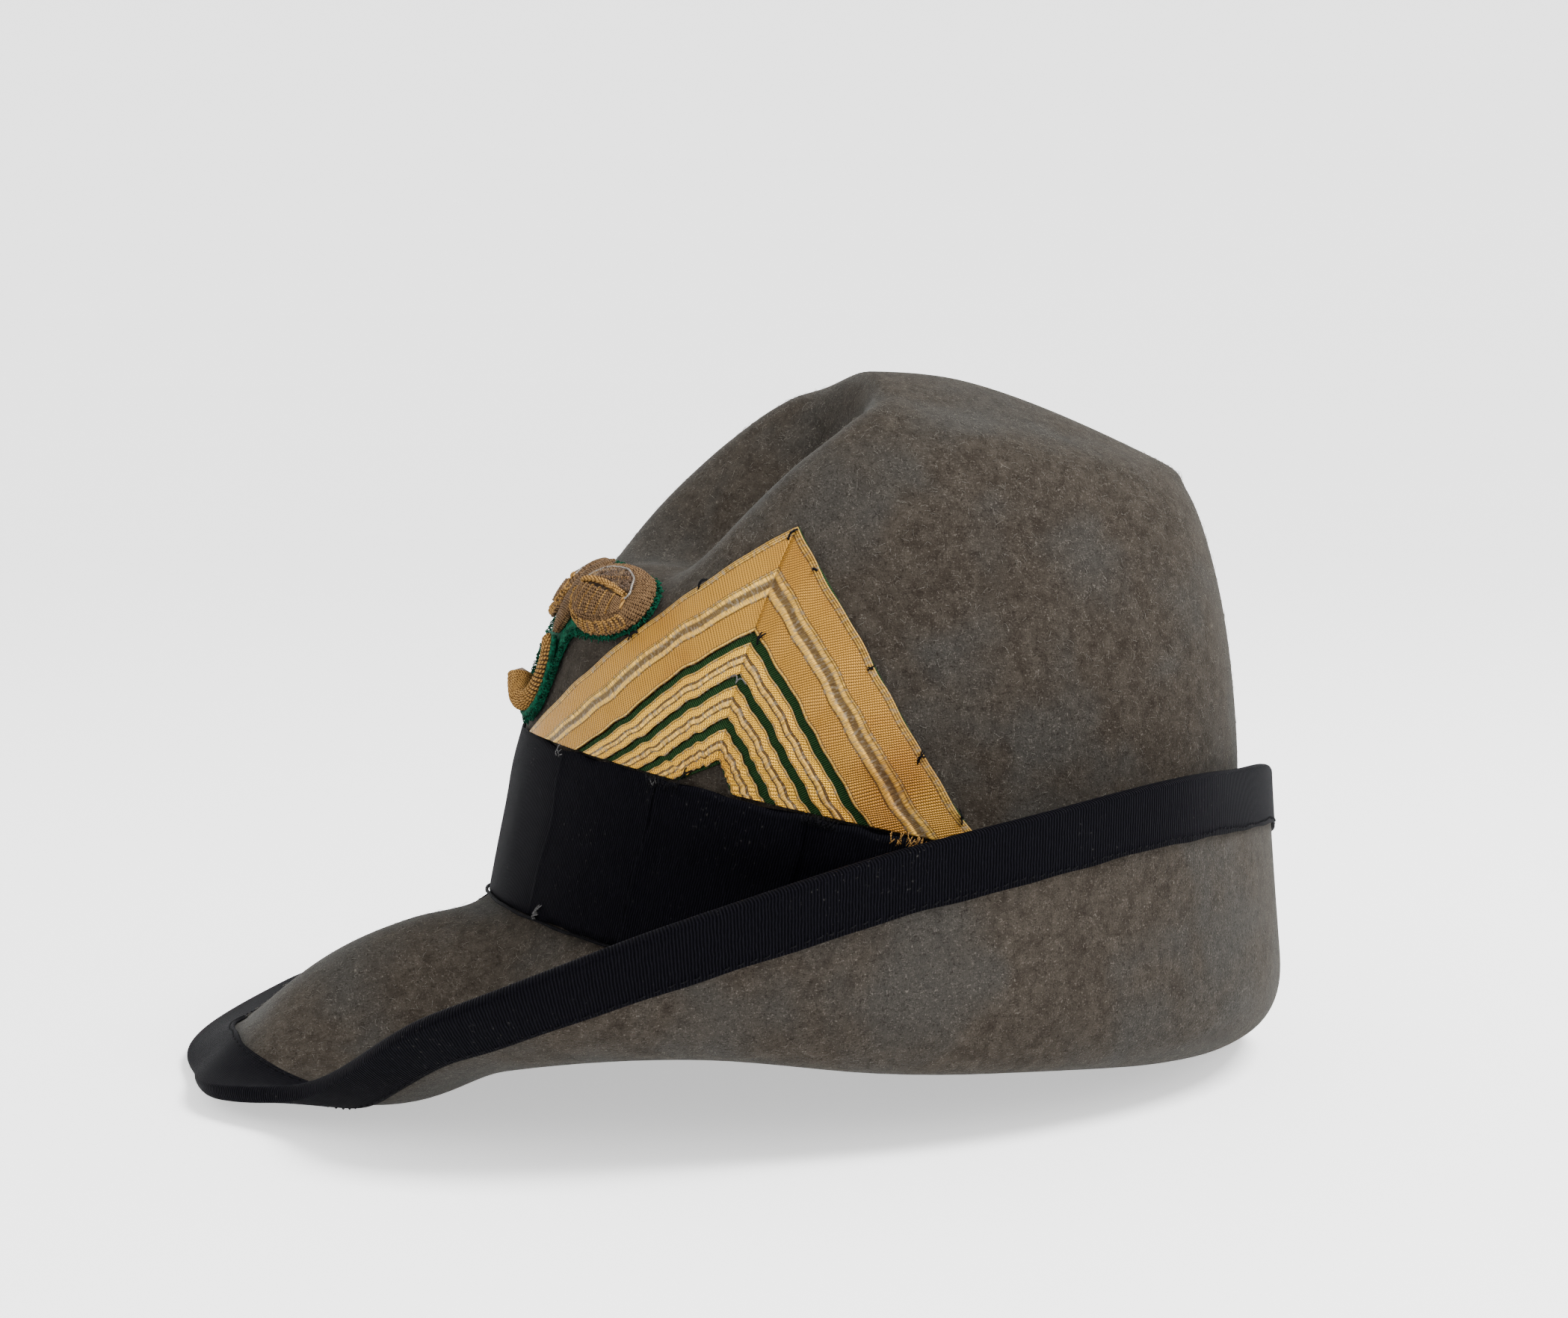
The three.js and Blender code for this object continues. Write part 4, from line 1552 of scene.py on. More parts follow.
@dataclass
class Chevron:
    """Rank chevron on the wearer's left: laces on a green ground, mitred at the point.

    Attributes:
        form: the hat's form.
        rear_edge: outer edge of the rear arm as azimuth and height.
        front_edge: outer edge of the front arm.
        inner_point: inner point of the chevron.
        inner_rear: inner end of the rear arm.
        inner_front: inner end of the front arm.
        width: width of an arm.
        clear: clearance to the felt.
        backing: thickness of the green ground.
        lace: thickness of a lace.
        laces: CAD node, start and end across the chevron, and how it is woven.
        tacks: azimuth and height of the tacking stitches.
    """

    form: HatForm
    rear_edge: tuple[tuple[float, float], ...] = (
        (47.9, 115.1),
        (57.5, 103.7),
        (65.7, 92.3),
        (72.6, 81),
        (79, 69.6),
        (85.3, 58.2),
        (92.7, 46.8),
    )
    front_edge: tuple[tuple[float, float], ...] = (
        (47.9, 115.1),
        (39.5, 103.7),
        (31.9, 92.3),
        (25.8, 81),
        (19.4, 69.6),
        (11.8, 58.2),
        (1.9, 46.8),
    )
    inner_point: tuple[float, float] = (49.3, 53.6)
    inner_rear: tuple[float, float] = (52.2, 46.8)
    inner_front: tuple[float, float] = (42.6, 46.8)
    width: float = 50.0
    clear: float = 0.7
    backing: float = 0.5
    lace: float = 0.6
    laces: tuple[tuple[str, float, float, LaceZones], ...] = (
        ("chevron_lace_wide", 0.005, 0.455, WIDE_LACE),
        ("chevron_lace_outer", 0.5, 0.635, NARROW_LACE),
        ("chevron_lace_middle", 0.68, 0.815, NARROW_LACE),
        ("chevron_lace_inner", 0.86, 0.99, NARROW_LACE),
    )
    tacks: tuple[tuple[float, float], ...] = (
        (47.6, 112.5),
        (34.6, 96.0),
        (25.4, 79.0),
        (54.9, 105.2),
        (69.4, 84.8),
        (80.0, 66.0),
        (88.0, 53.6),
        (44.2, 49.0),
        (50.0, 85.7),
    )

    def arm(
        self,
        edge: tuple[tuple[float, float], ...],
        inner_end: tuple[float, float],
        down: Array,
        across: Array,
    ) -> Array:
        """Places on one arm: a mix of its outer edge and its straight inner edge.

        Args:
            edge: outer edge of the arm.
            inner_end: end of the inner edge.
            down: share of the way down the arm.
            across: share of the chevron's width.

        Returns:
            Azimuth and height, of shape (across, down, 2).
        """
        rows = np.array(edge, float)
        padded = np.vstack([2 * rows[0] - rows[1], rows, 2 * rows[-1] - rows[-2]])
        outer = through(padded, down * (len(rows) - 1) + 1)
        point, end = np.array(self.inner_point), np.array(inner_end)
        inner = point + (end - point) * down[:, None]
        return outer + (inner - outer) * across[:, None, None]

    def strip(self, shares: Array, steps: int) -> tuple[Array, Array, Array]:
        """Grid of places over both arms, with distances along the lace.

        Along each row the distance starts from the foot of the mitre and grows by the
        length of every step, measured on the felt. It is negative on the front arm.

        Args:
            shares: shares of the chevron's width, one for each row.
            steps: columns on each arm.

        Returns:
            Azimuth and height grid, distance along each row, and share down the arm.
        """
        down = np.linspace(0, 1, steps + 1) ** 1.15
        parts, lengths = [], []
        for edge, end in ((self.front_edge, self.inner_front), (self.rear_edge, self.inner_rear)):
            grid = self.arm(edge, end, down, shares)
            flat = self.form.on_crown(grid[..., 0], grid[..., 1], 0.0)
            way = unit(flat[0, 3] - flat[0, 0])
            start = (flat[:, :1] - flat[:1, :1]) @ way
            step = np.linalg.norm(np.diff(flat, axis=1), axis=2)
            lengths.append(start + np.concatenate([np.zeros_like(start), np.cumsum(step, 1)], 1))
            parts.append(grid)
        grid = np.concatenate([parts[0][:, :0:-1], parts[1]], 1)
        along = np.concatenate([-lengths[0][:, :0:-1], lengths[1]], 1)
        place = np.concatenate([-down[:0:-1], down])
        return grid, along, place

    def build(self, wardrobe: Wardrobe) -> None:
        """Make the green ground and the four laces on it.

        Args:
            wardrobe: the finishes.
        """
        shares = np.linspace(0, 1, 61)
        grid, along, _ = self.strip(shares, 100)
        azimuth, height = grid[..., 0], grid[..., 1]
        outer = self.form.on_crown(azimuth, height, self.clear + self.backing)
        inner = self.form.on_crown(azimuth, height, self.clear - 0.3)
        cloth = np.stack([along, np.broadcast_to(shares[:, None] * self.width, along.shape)], -1)
        shell = band_shell("chevron_green_ground", outer, inner, cloth, False)
        ground = dress(shell.build(), wardrobe.green, "green_cloth", "chevron_backing")
        wide, *narrow = [self.lay(wardrobe, *lace) for lace in self.laces]
        cut_flat(wide)
        cut_flat(ground)
        self.tack(wardrobe)

    def tack(self, wardrobe: Wardrobe) -> None:
        """Dark tacking stitches along the edges, and a loose loop at the mitre.

        Args:
            wardrobe: the finishes.
        """
        spots = np.array(self.tacks)
        draw = np.random.default_rng(45)
        lean = draw.uniform(-1.0, 1.0, (len(spots) * 3, 2)) + [0.2, 0.9]
        foot = np.repeat(spots, 3, 0) + draw.uniform(-0.25, 0.25, (len(spots) * 3, 2))
        part = np.linspace(-1, 1, 7)
        place = foot[:, None] + lean[:, None] * part[:, None] * [0.7, 1.0]
        height = self.clear + self.backing + self.lace + 1.15 - 0.9 * part**2
        path = self.form.on_crown(place[..., 0], place[..., 1], np.broadcast_to(height, place.shape[:2]))
        dress(threads("chevron_tack_stitches", path, 0.2, 6), wardrobe.dark_thread, "gold_lace")
        part = np.linspace(0, 1, 24)
        turn = 2 * np.pi * part
        azimuth = 47.6 + 3.0 * part + 0.5 * np.sin(turn)
        height = 74.6 - 0.8 * part + 0.9 * np.sin(turn * 1.5)
        lift = self.clear + self.backing + self.lace + 0.9 + 0.8 * np.sin(np.pi * part)
        loop = self.form.on_crown(azimuth, height, lift)
        dress(threads("chevron_loose_loop", loop[None], 0.17, 6), wardrobe.pale_thread, "gold_lace")

    def lay(
        self, wardrobe: Wardrobe, name: str, start: float, end: float, zones: LaceZones
    ) -> bpy.types.Object:
        """One lace: its woven profile across, a groove at the mitre and small puckers.

        Args:
            wardrobe: the finishes.
            name: the CAD node that it stands for.
            start: start across the chevron.
            end: end across the chevron.
            zones: how the lace is woven.

        Returns:
            The lace.
        """
        count = 49 if zones.kind is LaceKind.WIDE else 25
        part = np.linspace(0, 1, count)
        grid, along, place = self.strip(start + (end - start) * part, 170)
        wave = 0.32 * waver(place * 180 + 180, 9, (5, 9, 14)) * ease(np.abs(place) / 0.1)
        azimuth = grid[..., 0]
        height = grid[..., 1] + wave * ease((1 - np.abs(place)) / 0.06)
        mitre = np.abs(along) - np.abs(along).min(1, keepdims=True)
        groove = 0.35 * np.exp(-((mitre / 0.7) ** 2))
        pucker = 0.16 * waver(along * 2.2 + 25 * part[:, None], 44, (3, 7, 11))
        lift = self.clear + self.backing + 0.25
        relief = zones.profile(part)[:, None] + pucker * np.sin(np.pi * part)[:, None] - groove
        outer = self.form.on_crown(azimuth, height, lift + self.lace + relief)
        inner = self.form.on_crown(azimuth, height, lift - 0.15)
        cloth = np.stack([along, np.broadcast_to(part[:, None] * zones.width, along.shape)], -1)
        shell = band_shell(f"{name}_woven", outer, inner, cloth, False)
        return dress(shell.build(), wardrobe.lace[zones.kind], "gold_lace", name)


@dataclass
class Badge:
    """Padded metal-thread badge on the front: a plain spread-winged bird over a horn.

    Attributes:
        form: the hat's form.
        azimuth: azimuth of its centre.
        height: height of its centre above the break.
        degree: millimetres in one degree there.
        clear: clearance to the felt.
        cloth: thickness of its ground.
        rise: how far the padding of the wearer's left wing rises.
        flat_rise: the same for the bird and the other wing, which are pressed flat.
        lip: height of the wearer's left wing at its rim.
        flat_lip: the same for the bird and the other wing.
        middle: height of the ground's middle, where its rings start.
        wing: middle across and up, half width and half height of the wearer's left wing.
        bird: height of the middle, half width and half height of the body.
        horn: middle across and up, and radius, of the horn's curl.
        curl_start: where the horn starts round its curl, in degrees.
        curl_turn: how far it turns, in degrees.
        tube: radius of the horn at its mouthpiece, and how much it widens.
        ground: outline of the cloth under it.
    """

    form: HatForm
    azimuth: float = -0.5
    height: float = 72.0
    degree: float = 1.4
    clear: float = 0.8
    cloth: float = 0.5
    rise: float = 4.2
    flat_rise: float = 1.3
    lip: float = 1.0
    flat_lip: float = 0.8
    middle: float = 4.0
    wing: tuple[float, float, float, float] = (20.6, 14.5, 15.2, 10.4)
    bird: tuple[float, float, float] = (13.2, 4.9, 12.2)
    horn: tuple[float, float, float] = (-4.5, -9.6, 8.6)
    curl_start: float = 70.0
    curl_turn: float = -230.0
    tube: tuple[float, float] = (1.4, 2.2)
    ground: tuple[tuple[float, float], ...] = (
        (0, 25.5), (10, 25.5), (22, 25.3), (31, 23), (35.9, 18.6), (36.5, 13), (33.8, 8.4), (28, 4.3),
        (21, 2.9), (14.5, 2.9), (10, 1.5), (8.7, -3), (8.5, -8), (7.4, -13.3), (5, -18.6), (0.3, -22),
        (-5, -23), (-10.5, -21.6), (-14.6, -18), (-16.6, -12.5), (-17, -7), (-19, -1.5), (-28, 4.3),
        (-33.8, 8.4), (-36.5, 13), (-35.9, 18.6), (-31, 23), (-22, 25.3), (-10, 25.5),
    )

    @property
    def low(self) -> float:
        """Distance of the pads' undersides from the felt."""
        return self.clear + self.cloth + 0.3

    def at(self, across: Array, up: Array, distance: Array | float) -> Array:
        """Points on the crown's front by millimetres across and up from the centre."""
        across, up, distance = np.broadcast_arrays(across, up, distance)
        return self.form.on_crown(self.azimuth + across / self.degree, self.height + up, distance)

    def dome(self, sign: int) -> tuple[float, float]:
        """Height of a wing's rim, and the rise of its middle above the rim."""
        return (self.lip, self.rise) if sign > 0 else (self.flat_lip, self.flat_rise)

    def horn_size(self, part: Array) -> Array:
        """The horn's radius at a share of its length: it grows with the share squared."""
        return self.tube[0] + self.tube[1] * part**2

    def on_wing(self, sign: int, x: Array, y: Array, lift: Array | float) -> Array:
        """Points over a wing's dome by shares of its half width and half height.

        Args:
            sign: 1 for the wearer's left wing and -1 for the other one.
            x: share of the half width.
            y: share of the half height.
            lift: distance above the dome.

        Returns:
            Points in millimetres.
        """
        middle, up, half_width, half_height = self.wing
        rim, rise = self.dome(sign)
        dome = self.low + rim + rise * np.sqrt(np.maximum(0, 1 - x**2 - y**2))
        return self.at(sign * (middle + x * half_width), up + y * half_height, dome + lift)

    def pad(
        self,
        centre: tuple[float, float],
        outline: Array,
        low: float,
        rim: float,
        rise: float,
        name: str,
    ) -> Shell:
        """A domed pad: rings shrink from the outline to a point.

        The dome's height is the rim plus the rise times the root of one less the
        square of the ring's share.

        Args:
            centre: middle of the pad.
            outline: outline round it, of shape (points, 2).
            low: distance of its underside.
            rim: height of its rim.
            rise: how far its middle rises above the rim.
            name: the piece's name.

        Returns:
            The shell.
        """
        share = np.sin(np.linspace(0.04, 1, 26) * np.pi / 2)[:, None]
        x = centre[0] + outline[:, 0] * share
        y = centre[1] + outline[:, 1] * share
        dome = low + rim + rise * np.sqrt(np.maximum(0, 1 - share**2)) + 0 * x
        outer = self.at(x, y, dome)
        inner = self.at(x, y, low)
        points = np.concatenate([outer, inner[::-1]])
        rows = np.concatenate([share[:, 0], share[::-1, 0]]) * 10
        cloth = np.stack(np.meshgrid(rows, lengths_round(outline), indexing="ij")[::-1], -1)
        poles = [self.at(centre[0], centre[1], low + rim + rise), self.at(centre[0], centre[1], low)]
        return Shell(name, points, cloth, round_columns=True, poles=poles)

    @staticmethod
    def area(outline: Array) -> float:
        """Area inside an outline in square metres: half the sum of its cross products.

        Args:
            outline: points of the outline, in millimetres.

        Returns:
            The area.
        """
        x, y = outline.T
        twice = np.sum(x * np.roll(y, -1) - y * np.roll(x, -1))
        return float(abs(twice) / 2) * MILLIMETRE**2

    @staticmethod
    def oval(half_width: float, half_height: float, count: int) -> Array:
        """Points of an oval."""
        turn = 2 * np.pi * np.arange(count) / count
        return np.stack([half_width * np.cos(turn), half_height * np.sin(turn)], -1)

    def build(self, wardrobe: Wardrobe) -> None:
        """Make the ground, the wings, the bird and the horn.

        Args:
            wardrobe: the finishes.
        """
        rough = np.array(self.ground, float)
        closed = np.vstack([rough[-1:], rough, rough[:2]])
        outline = through(closed, 1 + len(rough) * np.arange(200) / 200)
        rings = outline - [0, self.middle]
        ground = self.pad((0, self.middle), rings, self.clear, self.cloth, 0.0, "badge_wool_ground")
        cloth = dress(ground.build(), wardrobe.wool, "teal_cloth", "badge_backing")
        self.area(outline)
        middle, up, half_width, half_height = self.wing
        for sign, side in ((1, "left"), (-1, "right")):
            oval = self.oval(half_width, half_height, 120)
            wing = self.pad(
                (middle * sign, up), oval, self.low, *self.dome(sign), f"badge_{side}_wing_pad"
            )
            dress(wing.build(), wardrobe.bullion, "bullion", f"badge_{side}_wing")
            self.rim(wardrobe, sign, side)
            self.lines(wardrobe, sign, side)
            self.grains(wardrobe, sign, side)
            self.feathers(wardrobe, sign, side)
        self.body(wardrobe)
        self.curl(wardrobe)
        self.fringe(wardrobe, outline)

    def rim(self, wardrobe: Wardrobe, sign: int, side: str) -> None:
        """Satin stitches across a wing's rim, and small curled loops below it.

        A stitch runs from two thirds of the wing's reach out to its edge and leans a
        little round it. A loop is a ring that stands on the lower edge.

        Args:
            wardrobe: the finishes.
            sign: 1 for the wearer's left wing and -1 for the other one.
            side: left or right, for the pieces' names.
        """
        part = np.linspace(0, 1, 8)
        turn = 2 * np.pi * np.arange(66)[:, None] / 66 + 0.14 * part
        share = 0.69 + 0.335 * np.sin(part * np.pi / 2) + 0.015 * np.sin(turn * 37)
        lift = 0.05 + 0.55 * np.sin(np.pi * part)
        path = self.on_wing(sign, share * np.cos(turn), share * np.sin(turn), lift)
        dress(threads(f"badge_{side}_wing_rim", path, 0.56, 7), wardrobe.satin_thread, "bullion")
        draw = np.random.default_rng(51)
        turn = np.radians(np.linspace(192, 322, 21) + draw.uniform(-1.5, 1.5, 21))[:, None]
        ring = np.linspace(0, 2 * np.pi, 15)
        size = draw.uniform(0.85, 1.25, 21)[:, None]
        share = 0.93 + 0.085 * size * np.cos(ring)
        turn = turn + 0.075 * size * np.sin(ring)
        lift = 0.65 + draw.uniform(0, 0.4, 21)[:, None] + 0.4 * np.sin(ring)
        path = self.on_wing(sign, share * np.cos(turn), share * np.sin(turn), lift)
        dress(threads(f"badge_{side}_wing_loops", path, 0.36, 6), wardrobe.gold_thread, "bullion")

    def lines(self, wardrobe: Wardrobe, sign: int, side: str) -> None:
        """Silvery wire inside a wing's rim, and a coiled line across its middle.

        Args:
            wardrobe: the finishes.
            sign: 1 for the wearer's left wing and -1 for the other one.
            side: left or right, for the pieces' names.
        """
        turn = np.radians(np.linspace(-62, 178, 100))
        share = 0.665 + 0.012 * np.sin(turn * 9)
        wire = self.on_wing(sign, share * np.cos(turn), share * np.sin(turn), 0.62)
        dress(threads(f"badge_{side}_wing_wire", wire[None], 0.28, 8), wardrobe.wire, "bullion")
        part = np.linspace(0, 1, 420)
        coil = 2 * np.pi * 22 * part
        x = -0.80 + 1.42 * part
        y = 0.02 + 0.07 * np.sin(np.pi * part) + 0.052 * np.cos(coil)
        middle = self.on_wing(sign, x, y, 0.65 + 0.5 * np.sin(coil))
        part = np.linspace(0, 1, 200)
        coil = 2 * np.pi * 12 * part
        y = 0.12 + 0.36 * part**1.3 + 0.035 * np.cos(coil)
        vein = self.on_wing(sign, -0.34 + 0.72 * part, y, 0.6 + 0.35 * np.sin(coil))
        dress(threads(f"badge_{side}_wing_coil", middle[None], 0.32, 6), wardrobe.gold_thread, "bullion")
        dress(threads(f"badge_{side}_wing_vein", vein[None], 0.24, 6), wardrobe.satin_thread, "bullion")

    def grains(self, wardrobe: Wardrobe, sign: int, side: str) -> None:
        """Short chips of metal thread, seeded over the upper half inside a wing's rim.

        Args:
            wardrobe: the finishes.
            sign: 1 for the wearer's left wing and -1 for the other one.
            side: left or right, for the pieces' names.
        """
        draw = np.random.default_rng(52)
        count = 300
        reach, turn = 0.64 * np.sqrt(draw.random(count)), draw.uniform(0.06, np.pi - 0.06, count)
        way = draw.uniform(0, np.pi, count)[:, None]
        part = np.linspace(-1, 1, 4)
        x = (reach * np.cos(turn))[:, None] + 0.050 * part * np.cos(way)
        y = (reach * np.sin(turn))[:, None] + 0.06 + 0.070 * part * np.sin(way)
        lift = draw.uniform(0.05, 0.45, count)[:, None] + 0.2 * (1 - part**2)
        path = self.on_wing(sign, x, y, lift)
        dress(threads(f"badge_{side}_wing_chips", path, 0.33, 5), wardrobe.bullion, "bullion")

    def feathers(self, wardrobe: Wardrobe, sign: int, side: str) -> None:
        """Satin-stitched feathers on the lower half of a wing, parted by twisted lines.

        A feather's stitches run across it and bulge in the middle. Every feather reaches
        from the middle line down to the rim, and spreads a little outwards.

        Args:
            wardrobe: the finishes.
            sign: 1 for the wearer's left wing and -1 for the other one.
            side: left or right, for the pieces' names.
        """
        reach, edge, wide, stitches = 0.70, 0.66, 0.215, 9
        columns, rows = np.meshgrid(np.arange(6), np.arange(stitches), indexing="ij")
        down = ((rows.ravel() + 0.5) / stitches)[:, None]
        part = np.linspace(0, 1, 7)
        x = (-edge + wide * columns.ravel())[:, None] + wide * part
        bottom = np.sqrt(np.maximum(0.02, reach**2 - np.minimum(np.abs(x), edge) ** 2))
        y = -0.06 - (bottom - 0.06) * down - 0.030 * np.sin(np.pi * part)
        spread = x * (1 + 0.10 * down)
        path = self.on_wing(sign, spread, y, 0.10 + 1.05 * np.sin(np.pi * part))
        dress(threads(f"badge_{side}_wing_feathers", path, 0.44, 6), wardrobe.satin_thread, "bullion")
        part = np.linspace(0, 1, 90)
        coil = 2 * np.pi * 11 * part
        x = np.linspace(-edge, -edge + 6 * wide, 7)[:, None]
        y = -0.06 - (np.sqrt(reach**2 - x**2) - 0.06) * part
        x = x * (1 + 0.10 * part) + 0.022 * np.cos(coil)
        path = self.on_wing(sign, x, y, 0.55 + 0.30 * np.sin(coil))
        dress(threads(f"badge_{side}_wing_quills", path, 0.27, 5), wardrobe.gold_thread, "bullion")

    def body(self, wardrobe: Wardrobe) -> None:
        """The bird's body: a pad with rows of stitches across it.

        Args:
            wardrobe: the finishes.
        """
        up, half_width, half_height = self.bird
        oval = self.oval(half_width, half_height, 90)
        bird = self.pad((0, up), oval, self.low, self.flat_lip, self.flat_rise, "badge_bird_pad")
        dress(bird.build(), wardrobe.bullion, "bullion", "badge_bird")
        part = np.linspace(-0.97, 0.97, 13)
        y = np.linspace(-0.96, 0.96, 42)[:, None]
        x = part * np.sqrt(1 - y**2)
        lift = self.low + self.flat_lip + 0.1 + self.flat_rise * np.sqrt(np.maximum(0, 1 - x**2 - y**2))
        path = self.at(x * half_width, up + (y - 0.04 * part**2) * half_height, lift)
        dress(threads("badge_bird_stitches", path, 0.30, 6), wardrobe.satin_thread, "bullion")

    def curl(self, wardrobe: Wardrobe) -> None:
        """The horn: a widening tube wound with thread, with a wool cord outside it.

        Thread winds round the tube: across by the radius times the cosine of the
        winding, and out by the radius times one plus its sine.

        Args:
            wardrobe: the finishes.
        """
        middle, up, size = self.horn
        part = np.linspace(0, 1, 40)
        turn = np.radians(self.curl_start + self.curl_turn * part)
        radius = self.horn_size(part)
        path = self.at(middle + size * np.cos(turn), up + size * np.sin(turn), self.low + radius * 0.9)
        tube = threads("badge_horn_tube", path[None], radius[None] * 0.9, 16)
        dress(tube, wardrobe.bullion, "bullion", "badge_horn")
        part = np.linspace(0, 1, 800)
        turn, coil = np.radians(self.curl_start + self.curl_turn * part), 2 * np.pi * 34 * part
        radius = self.horn_size(part)
        reach = size + radius * np.cos(coil)
        lift = self.low + 0.1 + radius * 0.9 * (1 + np.sin(coil))
        path = self.at(middle + reach * np.cos(turn), up + reach * np.sin(turn), lift)
        dress(threads("badge_horn_winding", path[None], 0.44, 6), wardrobe.gold_thread, "bullion")
        part = np.linspace(0, 1, 80)
        turn = np.radians(60 - 220 * part)
        reach = size + self.horn_size(part) + 0.9 + 0.15 * np.sin(turn * 23)
        path = self.at(middle + reach * np.cos(turn), up + reach * np.sin(turn), self.low + 0.8)
        dress(threads("badge_horn_wool_cord", path[None], 0.85, 8), wardrobe.wool, "teal_cloth")

    def fringe(self, wardrobe: Wardrobe, outline: Array) -> None:
        """Loose wool fibres round the ground's edge, seeded along its outline.

        Args:
            wardrobe: the finishes.
            outline: points of the outline, in millimetres.
        """
        draw = np.random.default_rng(53)
        count = 1500
        place = draw.uniform(0, len(outline), count).astype(int)
        along = unit(np.roll(outline, -1, 0) - outline)[place]
        out = np.stack([along[:, 1], -along[:, 0]], -1)
        out = out * np.sign(np.einsum("ij,ij->i", out, outline[place] - [0, self.middle]))[:, None]
        foot = outline[place] + along * draw.uniform(-0.5, 0.5, (count, 1))
        foot = foot - out * draw.uniform(0.2, 1.8, (count, 1))
        way = out * draw.uniform(0.3, 1.7, (count, 1)) + along * draw.uniform(-1.1, 1.1, (count, 1))
        part = np.linspace(0, 1, 5)
        spot = foot[:, None] + way[:, None] * part[:, None]
        rise = draw.uniform(0.1, 1.3, count)[:, None] * np.sin(part * 2.6)
        path = self.at(spot[..., 0], spot[..., 1], self.clear + self.cloth + rise)
        dress(threads("badge_wool_fringe", path, 0.15, 4), wardrobe.wool, "teal_cloth")


# Stage


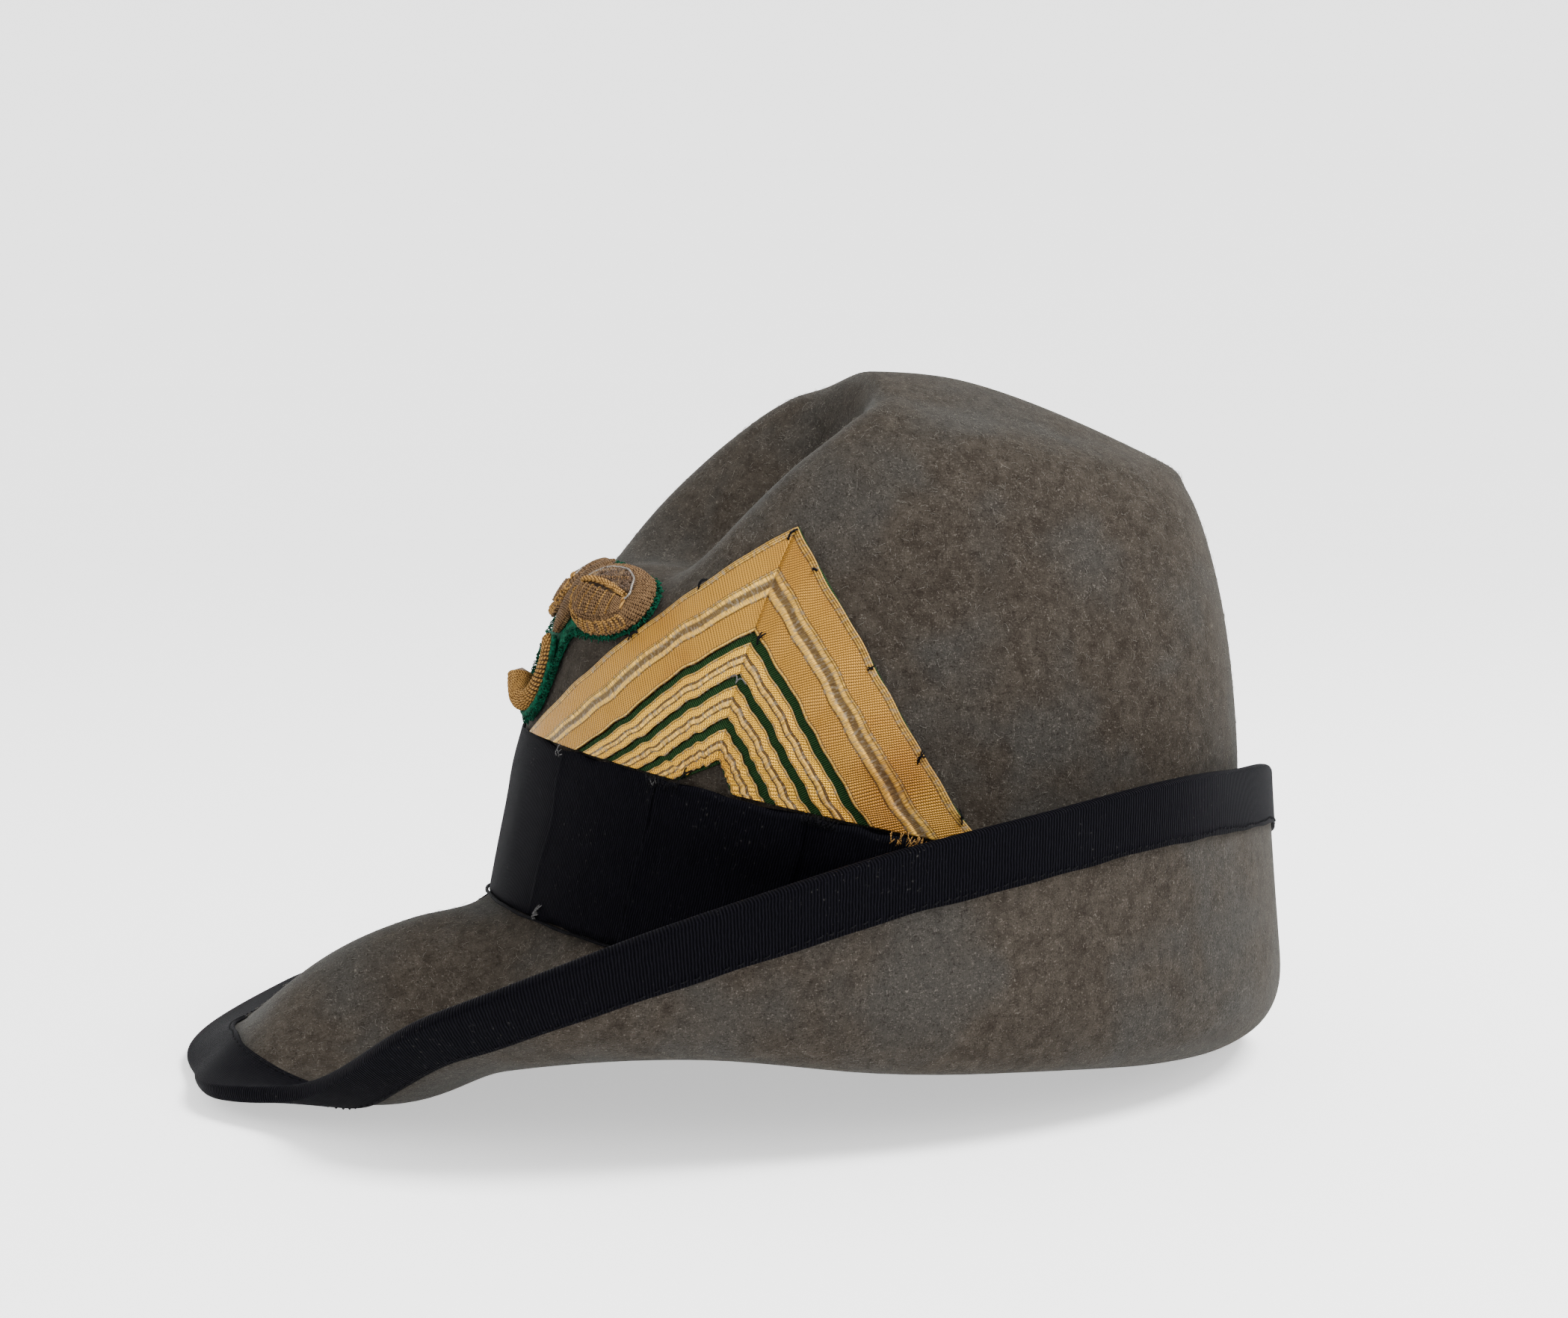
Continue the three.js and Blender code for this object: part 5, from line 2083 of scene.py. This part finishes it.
@dataclass(frozen=True)
class Studio:
    """Floor, lights and camera.

    Attributes:
        aim: the point that the camera looks at, in metres.
        distance: from the camera to that point, in metres.
        yaw: the camera's turn forwards from the wearer's left, in degrees.
        elevation: the camera's height angle, in degrees.
        roll: the camera's roll, in degrees.
        lens: focal length on a 36 mm wide frame.
    """

    aim: tuple[float, float, float] = (0.01059, 0.01299, 0.10797)
    distance: float = 1.16435
    yaw: float = 16.0
    elevation: float = 7.0
    roll: float = -0.1
    lens: float = 100.0

    def build(self) -> None:
        """Set up the stage."""
        self.floor()
        self.world()
        self.area("key", (0.60, 0.75, 1.60), 0.8, 80)
        self.area("camera_fill", (1.7, -0.5, 0.9), 1.0, 2)
        self.camera()

    def floor(self) -> None:
        """A pale floor that curves up all round into a wall, so that no edge shows.

        Round the middle it is flat. Beyond that its section is a quarter of a circle,
        reach and rise being the radius times the sine and one less the cosine.
        """
        turn = np.radians(np.linspace(0, 90, 24))
        reach = np.concatenate([[0.02, 0.4, 0.9], 1.3 + 2.0 * np.sin(turn), [3.3]])
        rise = np.concatenate([[0.0, 0.0, 0.0], 2.0 * (1 - np.cos(turn)), [3.0]])
        sides = 96
        round_ = np.radians(np.arange(sides) * 360 / sides)
        flat = np.stack([np.cos(round_), np.sin(round_)], -1) * reach[:, None, None]
        height = np.broadcast_to(rise[:, None, None], (len(reach), sides, 1))
        points = np.concatenate([flat, height], -1)
        i, j = np.meshgrid(np.arange(len(reach) - 1), np.arange(sides), indexing="ij")
        near, far, k = i.ravel() * sides, (i.ravel() + 1) * sides, (j.ravel() + 1) % sides
        faces = np.stack([near + j.ravel(), far + j.ravel(), far + k, near + k], 1).tolist()
        mesh = bpy.data.meshes.new("floor")
        mesh.from_pydata(points.reshape(-1, 3).tolist(), [], [*faces, list(range(sides))])
        floor = bpy.data.objects.new("floor", mesh)
        bpy.context.scene.collection.objects.link(floor)
        made = Shader("floor_paper")
        grain = made.noise(40, 2)
        colour = made.blend(grain, tone(0.90, 0.90, 0.90), tone(0.92, 0.92, 0.92))
        constants = {
            "Specular IOR Level": 0.05,
            "Emission Color": tone(1.0, 1.0, 1.0),
            "Emission Strength": 0.75,
        }
        floor.data.materials.append(made.finish(colour, 0.95, grain, 0.00002, constants))

    def world(self) -> None:
        """Even pale light from above the wall."""
        world = bpy.data.worlds.new("studio")
        world.use_nodes = True
        background = world.node_tree.nodes["Background"]
        background.inputs[0].default_value = tone(1.0, 1.0, 1.0)
        background.inputs[1].default_value = 0.8
        bpy.context.scene.world = world

    def area(self, name: str, place: tuple[float, float, float], size: float, power: float) -> None:
        """One square soft light that faces the hat.

        Args:
            name: the light's name.
            place: where it stands, in metres.
            size: length of its side, in metres.
            power: its power in watts.
        """
        light = bpy.data.lights.new(name, "AREA")
        light.size = size
        light.energy = power
        lamp = bpy.data.objects.new(name, light)
        bpy.context.scene.collection.objects.link(lamp)
        lamp.location = place
        target = np.array(self.aim)
        way = target - np.array(place)
        lamp.rotation_mode = "QUATERNION"
        lamp.rotation_quaternion = Vector(way).to_track_quat("-Z", "Y")

    def camera(self) -> None:
        """The camera at the photograph's angle."""
        yaw, rise = math.radians(self.yaw), math.radians(self.elevation)
        back = Vector((math.cos(yaw) * math.cos(rise), -math.sin(yaw) * math.cos(rise), math.sin(rise)))
        data = bpy.data.cameras.new("camera")
        data.lens = self.lens
        data.sensor_width = 36.0
        data.clip_end = 100.0
        camera = bpy.data.objects.new("camera", data)
        bpy.context.scene.collection.objects.link(camera)
        camera.location = Vector(self.aim) + back * self.distance
        turn = (-back).to_track_quat("-Z", "Y")
        camera.rotation_mode = "QUATERNION"
        camera.rotation_quaternion = turn
        bpy.context.scene.camera = camera


def main() -> None:
    """Build every piece in order and report each one."""
    logging.basicConfig(level=logging.INFO, format="%(message)s")
    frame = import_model()
    log.info("frame of %d CAD nodes", len(frame["nodes"]))
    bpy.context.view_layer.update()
    form = HatForm()
    wardrobe = Wardrobe()
    FeltBody(form).build(wardrobe)
    BrimBinding(form).build(wardrobe)
    HatBand(form).build(wardrobe)
    Chevron(form).build(wardrobe)
    Badge(form).build(wardrobe)
    Studio().build()


if __name__ == "__main__":
    main()
